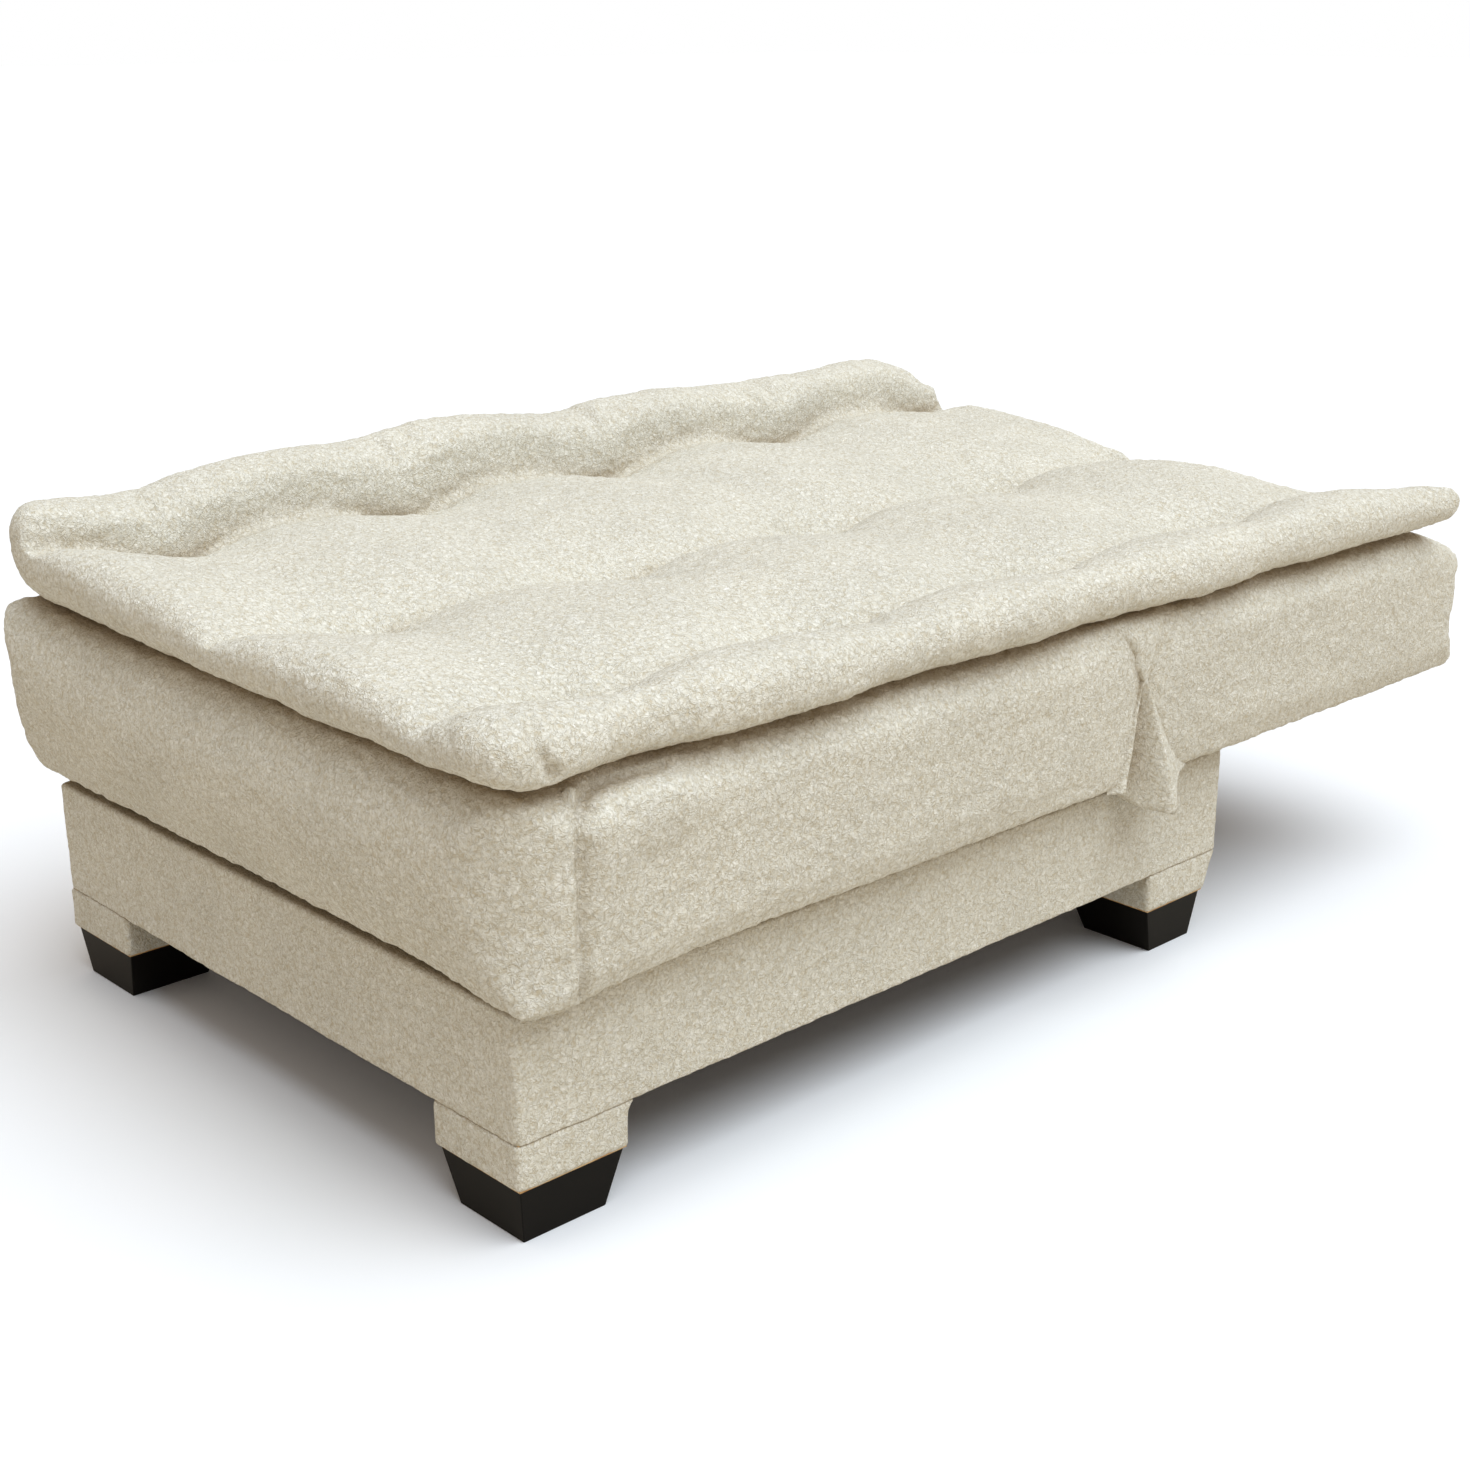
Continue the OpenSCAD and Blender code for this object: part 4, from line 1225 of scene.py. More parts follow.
@dataclass
class Topper:
    """The quilted topper: one sewn pad from the front lip to the back's end, turned up along one long side."""

    fold: Fold = field(default_factory=Fold)
    half: float = 0.545
    near_half: tuple = ((-0.8815, 0.524), (-0.66, 0.526), (-0.45, 0.534), (0.7815, 0.534))
    front: float = -0.8815
    end: float = 0.7815
    rest: float = 0.5003
    lines: tuple[float, float, float] = (-0.405, 0.02, 0.40)
    tufts: tuple[float, ...] = (-0.683, -0.328, 0.027, 0.382, 0.737)
    tuft_reach: float = 0.15
    pull_in: float = 9 * MM
    puff: float = 0.568
    valley: float = 0.536
    tuft_drop: float = 26 * MM
    bow: tuple[float, float, float] = (11 * MM, 8 * MM, 5 * MM)
    near_roll: float = 0.570
    roll_x: float = -0.480
    roll_half: float = 88 * MM
    corners: tuple[float, float, float, float] = (0.045, 0.022, 0.05, 0.12)
    lip: float = 15 * MM
    least: float = 17 * MM
    edge_far_r: float = 30 * MM
    edge_near_r: float = 36 * MM
    voxel: float = 8 * MM
    seed: int = 37
    bend_reach: float = 0.215
    line_depths: tuple[float, float, float] = (7 * MM, 5 * MM, 3 * MM)
    tuft_depth: float = 14 * MM
    far_tuft_depth: float = 7 * MM
    # How much lower the pad, the near roll and the far roll are at a row of tufts
    row_drops: tuple[float, float, float] = (9 * MM, 5 * MM, 4 * MM)
    # How deep the crease along a row, the gathers around a tuft and its stitch are
    row_crease: float = 2.2 * MM
    gather: float = 2.4 * MM
    stitch: float = 5 * MM
    # Height of the turned-up roll and of the lips, as distance along an edge and height
    roll_rise: tuple = ((-0.8815, 0.622), (-0.79, 0.622), (-0.72, 0.626), (-0.62, 0.641), (-0.5, 0.648), (-0.4, 0.648),
                        (-0.26, 0.660), (-0.13, 0.655), (-0.04, 0.647), (0.06, 0.654), (0.2, 0.651), (0.36, 0.650),
                        (0.52, 0.643), (0.61, 0.650), (0.67, 0.647), (0.72, 0.624), (0.7815, 0.590))
    near_lip: tuple = ((-0.8815, 0.523), (-0.82, 0.508), (-0.76, 0.510), (-0.70, 0.517), (-0.62, 0.518),
                       (-0.54, 0.517), (-0.43, 0.509), (-0.35, 0.515), (-0.16, 0.523), (0.0, 0.518), (0.12, 0.515),
                       (0.22, 0.509), (0.364, 0.517), (0.511, 0.517), (0.65, 0.509), (0.72, 0.508), (0.7815, 0.516))
    front_lip: tuple = ((-0.545, 0.588), (-0.44, 0.577), (-0.33, 0.562), (-0.256, 0.554), (-0.115, 0.543),
                        (0.07, 0.532), (0.25, 0.527), (0.41, 0.523), (0.545, 0.530))
    far_lip: tuple = ((-0.8815, 0.587), (-0.5, 0.556), (0.4, 0.548), (0.7815, 0.556))
    end_lip: tuple = ((-0.545, 0.556), (-0.3, 0.536), (0.1, 0.508), (0.38, 0.505), (0.46, 0.512), (0.545, 0.520))
    # How much the pad's front and end stand above or below its lanes, as distance across and height
    front_rise: tuple = ((-0.545, 0.0), (-0.46, 0.014), (-0.40, 0.024), (-0.30, 0.026), (-0.15, 0.022), (0.07, 0.014),
                         (0.4, 0.006), (0.545, 0.0))
    end_rise: tuple = ((-0.545, -0.004), (-0.44, 0.010), (-0.38, 0.022), (-0.25, 0.012), (0.0, -0.002), (0.2, -0.032),
                       (0.33, -0.042), (0.40, -0.030), (0.47, -0.008), (0.545, 0.0))
    # How much higher the far seam lies than the others, as distance along it and height
    foot_rise: tuple = ((-0.8815, 0.010), (-0.683, 0.015), (-0.328, 0.019), (0.03, 0.021), (0.38, 0.026),
                        (0.60, 0.026), (0.7815, 0.016))
    # How far the front and the end edge are rounded, as distance across and radius
    front_edge_r: tuple = ((-0.42, 32 * MM), (0.0, 42 * MM))
    end_edge_r: tuple = ((-0.42, 44 * MM), (0.0, 60 * MM), (0.40, 50 * MM), (0.50, 32 * MM))
    # Pleats at the near front corner: where each runs, how deep and how wide it is
    pleats: tuple = (
        (((0.495, -0.815, 0.568), (0.508, -0.823, 0.558), (0.520, -0.819, 0.540), (0.524, -0.806, 0.515)), 11, 13),
        (((0.44, -0.862, 0.572), (0.486, -0.855, 0.574), (0.511, -0.810, 0.572), (0.528, -0.786, 0.552)), 4, 12),
        (((0.40, -0.845, 0.57), (0.45, -0.872, 0.552)), 3, 12),
        (((0.36, -0.80, 0.566), (0.43, -0.84, 0.566)), 2.5, 14))
    # How the four corners stand: where, how far around, and how far out
    pulls: tuple = (((0.53, 0.775, 0.55), 0.080, (0.020, 0.034, 0.004)),
                    ((-0.50, 0.74, 0.62), 0.07, (0.0, 0.008, 0.006)),
                    ((-0.50, -0.84, 0.60), 0.08, (0.012, 0.006, 0.0)),
                    ((0.53, -0.83, 0.55), 0.05, (0.004, -0.004, 0.0)))

    def near_tuft(self, y: Points) -> Points:
        """Returns how near each Y is to a row of tufts, from nought to one."""
        return np.max([ease((y - at) / self.tuft_reach) for at in self.tufts], axis=0)

    def rim(self, count: int = 900) -> tuple[Points, Points]:
        """Walks around the plan.

        Args:
            count: number of steps.

        Returns:
            Even points around the plan, and their outward directions.
        """
        sides = [(self.half, self.front, 1, -1), (self.half, self.end, 1, 1),
                 (-self.half, self.end, -1, 1), (-self.half, self.front, -1, -1)]
        points, facing = [], []
        for (x, y, sx, sy), r in zip(sides, self.corners):
            start = math.degrees(math.atan2(sy, sx)) - 45
            turns = np.radians(start + np.linspace(0, 90, 24))
            out = np.stack([np.cos(turns), np.sin(turns)], axis=1)
            points.append(np.array([x - sx * r, y - sy * r]) + r * out)
            facing.append(out)
        path, out = (np.concatenate([np.concatenate([part[i], part[(i + 1) % 4][:1]]) for i in range(4)])
                     for part in (points, facing))
        places, directions = even_steps(path, [path, out], count)
        return places, directions / np.linalg.norm(directions, axis=1)[:, None]

    def lane_height(self, x: Points, y: Points) -> Points:
        """Works out the height of the pad's top, away from its edges.

        Args:
            x: places across the bed.
            y: places along it.

        Returns:
            The height at each place.
        """
        near = self.near_tuft(y)
        pad_drop, near_drop, far_drop = self.row_drops
        far, middle, close = (line - bow * (1 - near) for line, bow in zip(self.lines, self.bow))
        valley = self.valley - self.tuft_drop * near
        height = np.full(x.shape, self.puff)
        for low, high in ((far, middle), (middle, close)):
            share = np.clip((x - low) / (high - low), 0, 1)
            arch = np.power(np.clip(1 - np.abs(2 * share - 1) ** 2.6, 0, 1), 0.7)
            inside = (x >= low) & (x <= high)
            top = self.puff - pad_drop * near
            height = np.where(inside, valley + (top - valley) * arch, height)
        shallow = valley + 8 * MM
        share = np.clip((x - close) / (self.half - close), 0, 1)
        swell = np.where(share < 0.55, np.power(np.sin(np.pi / 1.1 * np.clip(share, 0, 0.55)), 0.7), 1.0)
        height = np.where(x > close, shallow + (self.near_roll - near_drop * near - shallow) * swell, height)
        side = np.clip(1 - ((x - self.roll_x) / self.roll_half) ** 2, 0, 1) ** 0.6
        crest = read_table(self.roll_rise, y) - far_drop * near
        height = np.where(x < far, valley + (crest - valley) * side, height)
        for at_x, at_y in itertools.product(self.lines, self.tufts):
            away = np.hypot(x - at_x, y - at_y)
            depth = self.far_tuft_depth if at_x == self.lines[0] else self.tuft_depth
            height -= depth * np.exp(-((away / 0.03) ** 2)) + 0.5 * depth * np.exp(-((away / 0.075) ** 2))
        height += read_table(self.foot_rise, y) * ease((x - self.lines[0]) / np.where(x > self.lines[0], 0.24, 0.06))
        at_end = np.clip((y - 0.56) / 0.2, 0, 1) ** 2
        at_front = np.clip((-0.66 - y) / 0.2, 0, 1) ** 1.5
        return height + read_table(self.end_rise, x) * at_end + read_table(self.front_rise, x) * at_front

    def shell(self) -> tuple[Points, list]:
        """Draws the closed pad as rings from its rim inwards, on top and below.

        Returns:
            The points of the rings, and the faces between them.
        """
        rim, out = self.rim()
        count = len(rim)
        insets = np.concatenate([[0, 1, 2.5, 4.5, 7, 10, 14, 18, 23, 29, 36, 44], np.arange(53, 540, 9), [545]]) * MM
        across, along = rim.T
        lip = (out[:, 0] ** 2 * np.where(out[:, 0] > 0, read_table(self.near_lip, along),
                                         read_table(self.far_lip, along))
               + out[:, 1] ** 2 * np.where(out[:, 1] < 0, read_table(self.front_lip, across),
                                           read_table(self.end_lip, across)))
        edge_r = (out[:, 0] ** 2 * np.where(out[:, 0] > 0, self.edge_near_r, self.edge_far_r)
                  + out[:, 1] ** 2 * np.where(out[:, 1] < 0, read_table(self.front_edge_r, across),
                                              read_table(self.end_edge_r, across)))
        tops, unders = [], []
        middle = (self.front + self.end) / 2
        length = (self.end - self.front) / 2
        for inset in insets:
            move = rim - out * inset
            x = np.clip(move[:, 0], -(self.half - inset), self.half - inset)
            y = middle + np.clip(move[:, 1] - middle, -(length - inset), length - inset)
            x = np.where(x > 0.3, 0.3 + (x - 0.3) * (read_table(self.near_half, y) - 0.3) / (self.half - 0.3), x)
            x = x * (1 - self.pull_in * self.near_tuft(y) / self.half)
            rise = crown(inset / edge_r)
            start = lip + self.lip
            lift = 1 - crown(inset / (60 * MM + 30 * MM * out[:, 1] ** 2))
            floor = self.rest + (lip - self.rest) * lift
            height = np.maximum(start + (self.lane_height(x, y) - start) * rise, floor + self.least)
            tops.append(np.stack([x, y, height], axis=1))
            unders.append(np.stack([x, y, floor], axis=1))
        rows = tops[::-1] + unders
        points = np.concatenate(rows)
        last = len(rows) - 1
        faces = [(j * count + i, (j + 1) * count + i, (j + 1) * count + (i + 1) % count, j * count + (i + 1) % count)
                 for j in range(last) for i in range(count)]
        return points, faces

    def sewn(self, points: Points) -> Points:
        """Says how firmly each point is held while the pad swells.

        Args:
            points: places on the pad, one row each.

        Returns:
            From nought, free, to one, held.
        """
        x, y, z = points.T
        lines = np.max([groove(points[:, :1], [(at,), (at,)], 22 * MM) for at in self.lines], axis=0)
        tufts = np.max([ease(np.hypot(x - ax, y - ay) / (40 * MM))
                        for ax, ay in itertools.product(self.lines, self.tufts)], axis=0)
        below = z < 0.5 * (self.rest + 0.53)
        held = np.maximum(lines, tufts)
        return np.where(below & (np.abs(x) < 0.5) & (y > -0.8), 1.0, np.clip(held, 0, 1))

    def crease(self, points: Points, facing: Points) -> Points:
        """Says how far the pad sinks for sewn lines, gathers and the folded corners.

        Args:
            points: places on the pad, one row each.
            facing: its normals there.

        Returns:
            The depth along each normal.
        """
        x, y, z = points.T
        up = np.clip(facing[:, 2], 0, 1)
        near = self.near_tuft(y)
        depth = np.zeros(len(points))
        for at, bow, amount in zip(self.lines, self.bow, self.line_depths):
            line = at - bow * (1 - near)
            sharp = 0.6 * ease((x - line) / (18 * MM)) + 0.6 * ease((x - line) / (8 * MM))
            depth += amount * sharp * (0.45 + 0.55 * near) * up
        for at in self.tufts:
            wave = at + 7 * MM * soft_noise(np.stack([x, x * 0, x * 0], axis=1), 0.14, self.seed + 5)
            across = np.min([np.abs(x - line) for line in self.lines], axis=0)
            depth += self.row_crease * ease((y - wave) / (20 * MM)) * ease(across / 0.17) * up
        for number, (ax, ay) in enumerate(itertools.product(self.lines, self.tufts)):
            away = np.hypot(x - ax, y - ay)
            turn = np.arctan2(y - ay, x - ax)
            folds = np.cos(5 * turn + number) + 0.7 * np.cos(9 * turn + 2 * number)
            depth += self.gather * folds * np.exp(-((away - 0.045) / 0.032) ** 2) * up
            depth += self.stitch * ease(away / (14 * MM)) * up
        for path, amount, width in self.pleats:
            depth += amount * MM * groove(points, path, width * MM)
        depth += (3.0 * MM * soft_noise(points, 0.10, self.seed + 1)
                  + 1.5 * MM * soft_noise(points, 0.045, self.seed + 2))
        return depth

    def keep_full(self, before: Points, after: Points, facing: Points) -> Points:
        """Stops the creases of the top short of the underside.

        Args:
            before: the points without creases.
            after: the points with them.
            facing: the normals.

        Returns:
            The points, no lower on top than the stuffing lets them sink.
        """
        kept = after.copy()
        ramp = np.maximum(1 - (self.end - before[:, 1]) / 0.08, 1 - (before[:, 1] - self.front) / 0.08)
        lips = np.where(before[:, 1] > 0, read_table(self.end_lip, before[:, 0]),
                        read_table(self.front_lip, before[:, 0]))
        floor = self.rest + (lips - self.rest) * np.clip(ramp, 0, 1) ** 2 + 0.6 * self.least
        kept[:, 2] = np.where(facing[:, 2] > 0.3, np.maximum(after[:, 2], np.minimum(before[:, 2], floor)), after[:, 2])
        return kept

    def build(self, kit: Kit) -> bpy.types.Object:
        """Builds, swells and dresses the pad.

        Args:
            kit: the shared finishes and trees.

        Returns:
            The pad.
        """
        piece = mesh_object("quilted_topper", *self.shell())
        join = piece.modifiers.new("Weld", "WELD")
        join.merge_threshold = 0.2 * MM
        remesh(piece, self.voxel, 3)
        Swelling(cap=9 * MM, bending=1.0).run(piece, self.sewn(vertices(piece)))
        subdivide(piece)
        points, facing = vertices(piece), normals(piece)
        creased = points - facing * self.crease(points, facing)[:, None]
        full = self.keep_full(points, creased, facing)
        place(piece, tug(full.copy(), full, self.pulls))
        kit.pile.grow(piece, kit.boucle, self.seed)
        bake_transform(piece)
        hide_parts("topper_seat", "topper_fold", "topper_back")
        log.info("quilted_topper: %d faces", len(piece.data.polygons))
        return piece


@dataclass
class BoxBase:
    """The box base: fabric wrapped over its rails, four upholstered legs and their moulded feet."""

    half: float = 0.475
    front: float = -0.8365
    rear: float = 0.3535
    rail_low: float = 0.12
    top: float = 0.264
    ease_r: float = 6 * MM
    corner_r: float = 7 * MM
    cloth: float = 2.9 * MM
    wrap: float = 23 * MM
    leg: float = 0.147
    leg_low: float = 0.065
    lean: float = 22 * MM
    fillet: float = 20 * MM
    leg_gap: float = 0.4 * MM
    leg_edge_r: float = 2.5 * MM
    foot_edge_r: float = 1.1 * MM
    pile_share: float = 0.45
    grid: float = 4 * MM

    def ring(self, inset: float, count: int) -> Points:
        """Walks around the plan.

        Args:
            inset: how far in from the faces.
            count: number of steps.

        Returns:
            Even points, as X and Y.
        """
        r = self.corner_r
        h, y0, y1 = self.half, self.front, self.rear
        path = np.array(arc((h - r, y1 - r), r, 0, 90, 6) + arc((-h + r, y1 - r), r, 90, 180, 6)
                        + arc((-h + r, y0 + r), r, 180, 270, 6) + arc((h - r, y0 + r), r, 270, 360, 6))
        spread = even_steps(path, [path], count)[0]
        middle = np.array([0, (y0 + y1) / 2])
        size = np.array([h, (y1 - y0) / 2])
        return middle + (spread - middle) * (size - inset) / size

    def panels(self, kit: Kit) -> bpy.types.Object:
        """Builds the fabric that wraps the rails, from under their lower edges to over their tops.

        Args:
            kit: the shared finishes and trees.

        Returns:
            The wrapped fabric.
        """
        low, top, r, t = self.rail_low - 1.4 * MM, self.top, self.ease_r, self.cloth
        height = np.arange(low + 2 * MM, top - r, self.grid)
        outer = [(self.wrap - k * self.grid, low) for k in range(int((self.wrap - 2 * MM) / self.grid))]
        outer += [(0.6 * MM, low + 0.5 * MM)] + [(0.0, z) for z in height]
        outer += [(r - a, top - r + b) for a, b in arc((0, 0), r, 0, 90, 5)]
        outer += [(r + k * self.grid, top) for k in range(1, 4)]
        inner = [(self.wrap + 1 * MM, top - t), (r, top - t), (t, top - r), (t, low + 1.3 * MM),
                 (self.wrap, low + 1.3 * MM)]
        profile = outer + inner
        count = int(2 * (2 * self.half + self.rear - self.front) / self.grid)
        rows = [np.insert(self.ring(d, count), 2, z, axis=1) for d, z in profile]
        size = len(profile)
        faces = [(j * count + i, j * count + (i + 1) % count, ((j + 1) % size) * count + (i + 1) % count,
                  ((j + 1) % size) * count + i) for j in range(size) for i in range(count)]
        piece = mesh_object("base_upholstery", np.concatenate(rows), faces)
        points, facing = vertices(piece), normals(piece)
        outside = np.clip(np.abs(facing[:, :2]).sum(axis=1), 0, 1) * (np.abs(points[:, 2] - (low + top) / 2) < 0.08)
        depth = 1.0 * MM * soft_noise(points, 0.14, 51) * outside
        skirt = ease((points[:, 2] - self.rail_low) / (9 * MM))
        depth += 0.8 * MM * skirt * soft_noise(points, 0.05, 52)
        place(piece, points - facing * depth[:, None])
        kit.pile.grow(piece, kit.boucle, 5.0, self.pile_share)
        return piece

    def leg_form(self, name: str, side: int, rear: bool) -> bpy.types.Object:
        """Builds one upholstered leg block.

        Args:
            name: the block's name.
            side: one for +X, minus one for -X.
            rear: whether it stands at the rear, where it slopes.

        Returns:
            The block.
        """
        turn = -1 if rear else 1
        edge = self.rear if rear else self.front
        lean = self.lean if rear else 0.0
        low, top = self.leg_low + self.leg_gap, self.rail_low - self.leg_gap
        outline = [(edge + turn * self.leg, low), (edge + turn * self.leg, top), (edge, top), (edge - lean, low)]
        across = sorted((side * (self.half - self.leg), side * self.half))
        piece = prism(name, Axis.X, outline, *across)
        soft = piece.modifiers.new("Soft", "BEVEL")
        soft.width = self.leg_edge_r
        soft.segments = 2
        bake(piece)
        if not rear:
            self.add_fillet(piece, side)
        remesh(piece, self.grid, 2)
        return piece

    def add_fillet(self, piece: bpy.types.Object, side: int) -> None:
        """Joins the curve that runs from a rail's lower edge into a front leg.

        Args:
            piece: a front leg block, which is changed.
            side: one for +X, minus one for -X.
        """
        y, top = self.front + self.leg, self.rail_low - self.leg_gap
        foot = top - self.fillet - 12 * MM
        outline = [(y - 20 * MM, top), (y - 20 * MM, foot), (y - 1 * MM, foot)]
        outline += arc((y + self.fillet, top - self.fillet), self.fillet, 180, 90, 6)
        across = sorted((side * (self.half - 25 * MM), side * (self.half - 0.5 * MM)))
        web = prism("web", Axis.X, outline, *across)
        join = piece.modifiers.new("Join", "BOOLEAN")
        join.object = web
        join.operation = "UNION"
        join.solver = "MANIFOLD"
        bake(piece)
        discard(web)

    def feet(self, kit: Kit) -> bpy.types.Object:
        """Takes the moulded feet and breaks their edges, as the mould leaves them.

        Args:
            kit: the shared finishes and trees.

        Returns:
            The four feet as one piece.
        """
        piece = bpy.data.objects.new("moulded_feet", frame["nodes"]["feet"].data.copy())
        bpy.context.scene.collection.objects.link(piece)
        join = piece.modifiers.new("Weld", "WELD")
        join.merge_threshold = 0.02 * MM
        soft = piece.modifiers.new("Edges", "BEVEL")
        soft.width = self.foot_edge_r
        soft.segments = 2
        soft.limit_method = "ANGLE"
        soft.angle_limit = math.radians(35)
        soft.harden_normals = True
        bake(piece)
        piece.data.materials.clear()
        piece.data.materials.append(kit.moulded)
        return piece

    def build(self, kit: Kit) -> None:
        """Builds and dresses the base.

        Args:
            kit: the shared finishes and trees.
        """
        panels = self.panels(kit)
        legs = [self.leg_form(f"leg_{i}", side, rear) for i, (side, rear) in
                enumerate(itertools.product((-1, 1), (False, True)))]
        first = legs[0]
        with bpy.context.temp_override(active_object=first, selected_editable_objects=legs):
            bpy.ops.object.join()
        first.name = first.data.name = "leg_upholstery"
        kit.pile.grow(first, kit.boucle, 7.0, self.pile_share)
        feet = self.feet(kit)
        for piece, node, slot in ((panels, "base_panels", "boucle_fabric"), (first, "leg_covers", "boucle_fabric"),
                                  (feet, "feet", "black_plastic")):
            dress(piece, "base", (node,))


@dataclass
class SideGusset:
    """The pleat of boucle over one end of the fold: a flat web above, and below it two ridges with a hollow between."""

    fold: Fold = field(default_factory=Fold)
    side_x: float = 0.5135
    high_z: float = 0.4997
    apex_z: float = 0.415
    low_z: float = 0.2775
    crest_r: float = 34 * MM
    crest_z: float = 0.466
    front: float = 48 * MM
    rear: float = 100 * MM
    out: float = 33 * MM
    drop: float = 37 * MM
    thickness: float = 3.2 * MM
    web: float = 18 * MM
    pile_share: float = 0.35
    columns: int = 64
    web_rows: int = 14
    pleat_rows: int = 40
    hidden: tuple[int, int] = (3, 6)
    # Share of the way from the seat's edge to the back's, with how far the pleat stands out there
    profile: tuple = ((0.0, 0.0), (0.03, 0.06), (0.08, 0.18), (0.12, 0.22), (0.155, 0.0), (0.19, -0.45), (0.24, -0.78),
                      (0.29, -0.66), (0.35, -0.15), (0.42, 0.38), (0.48, 0.78), (0.54, 1.0), (0.60, 0.94), (0.68, 0.62),
                      (0.78, 0.25), (0.88, 0.06), (1.0, 0.0))
    # The same share, with how much of the drop its foot hangs there
    sag: tuple = ((0.0, 0.0), (0.18, 0.0), (0.27, 0.45), (0.38, 0.82), (0.54, 1.0), (0.66, 0.7), (0.8, 0.15),
                  (1.0, 0.0))
    # How far the pleat's hidden edges run into the seat and the back, as depth below the fold's pin and distance
    seat_tuck: tuple = ((0.0, 0.006), (0.01, 0.008), (0.02, 0.012), (0.035, 0.018), (0.049, 0.021), (0.076, 0.026),
                        (0.104, 0.030))
    back_tuck: tuple = ((0.0, 0.010), (0.01, 0.018), (0.02, 0.027), (0.035, 0.038), (0.049, 0.045), (0.076, 0.056),
                        (0.104, 0.064))

    def rows(self) -> list:
        """Lists the pleat's rows from the top down.

        Returns:
            For each row its height, its two ends in Y and how far the pleat has opened, from nought to one.
        """
        rows = []
        for z in np.linspace(self.high_z, self.apex_z, self.web_rows, endpoint=False):
            reach = 5 * MM + (self.web + self.fold.mitre_y(z)) * min(1.0, (z - self.apex_z) / (25 * MM))
            rows.append((z, -reach, reach, 0.0))
        for t in np.linspace(0, 1, self.pleat_rows):
            z = self.apex_z + (self.low_z - self.apex_z) * t
            rows.append((z, -5 * MM - self.front * t, 5 * MM + self.rear * t, t))
        return rows

    def sheet(self) -> tuple[list, list]:
        """Lays the pleat's cloth row by row.

        Returns:
            The rows of its outer face and of its inner face.
        """
        shares = np.linspace(0, 1, self.columns)
        kernel = np.hanning(7) / np.hanning(7).sum()
        bulge = np.convolve(np.pad(read_table(self.profile, shares), 3, mode="edge"), kernel, mode="valid")
        bulge *= np.minimum(1, 12 * shares) * np.minimum(1, 12 * (1 - shares))
        sag = read_table(self.sag, shares)
        before, after = self.hidden
        outer, inner = [], []
        for level, start, end, opened in self.rows():
            y = self.fold.y + start + (end - start) * shares
            above = max(0.0, level - self.crest_z)
            face = self.side_x - self.crest_r + math.sqrt(max(0.0, self.crest_r**2 - above**2))
            x = face + self.out * np.where(bulge > 0, opened**0.8, opened) * bulge
            spread = 0.2 - 0.14 * min(1.0, 4 * opened)
            x += 2.5 * MM * (1 - opened) ** 8 * np.sin(np.pi * shares) ** 0.5
            x -= 6 * MM * (1 - 0.4 * opened) * (ease(shares / spread) + ease((1 - shares) / 0.2))
            z = level - self.drop * opened**2 * sag
            full = self.thickness * np.sin(np.pi * shares) ** 0.4
            first = min(start - 4 * MM, -read_table(self.seat_tuck, self.fold.z - level))
            last = max(end + 4 * MM, read_table(self.back_tuck, self.fold.z - level))
            y = np.concatenate([self.fold.y + np.linspace(first, start, before + 1)[:before], y,
                                self.fold.y + np.linspace(end, last, after + 1)[1:]])
            x, z, full = (np.pad(part, self.hidden, constant_values=value)
                          for part, value in ((x, face - 7 * MM * (1 - 0.4 * opened)), (z, level), (full, 0.0)))
            outer.append(np.stack([x + full, y, z], axis=1))
            inner.append(np.stack([x - 0.4 * MM, y, z], axis=1))
        return outer, inner

    def build(self, kit: Kit, side: int, name: str, node: str) -> bpy.types.Object:
        """Builds and dresses the pleat on one side.

        Args:
            kit: the shared finishes and trees.
            side: one for +X, minus one for -X.
            name: the piece's name.
            node: the CAD node that it stands for.

        Returns:
            The pleat.
        """
        outer, inner = self.sheet()
        down, along = len(outer), len(outer[0])
        points = np.concatenate([np.concatenate(outer), np.concatenate(inner)])
        points[:, 0] *= side
        grid = np.arange(down * along).reshape(down, along)
        back = grid + down * along
        faces = []
        for j, i in itertools.product(range(down - 1), range(along - 1)):
            faces.append((grid[j, i], grid[j + 1, i], grid[j + 1, i + 1], grid[j, i + 1]))
            faces.append((back[j, i], back[j, i + 1], back[j + 1, i + 1], back[j + 1, i]))
        loop = ([(0, i) for i in range(along - 1)] + [(j, along - 1) for j in range(down - 1)]
                + [(down - 1, i) for i in range(along - 1, 0, -1)] + [(j, 0) for j in range(down - 1, 0, -1)])
        for (j, i), (m, n) in zip(loop, loop[1:] + loop[:1]):
            faces.append((grid[j, i], grid[m, n], back[m, n], back[j, i]))
        faces = [tuple(int(k) for k in (face if side > 0 else face[::-1])) for face in faces]
        piece = mesh_object(name, points, faces)
        kit.pile.grow(piece, kit.boucle, 9.0 + side, self.pile_share)
        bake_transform(piece)
        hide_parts(node)
        log.info("%s: %d faces", name, len(piece.data.polygons))
        return piece


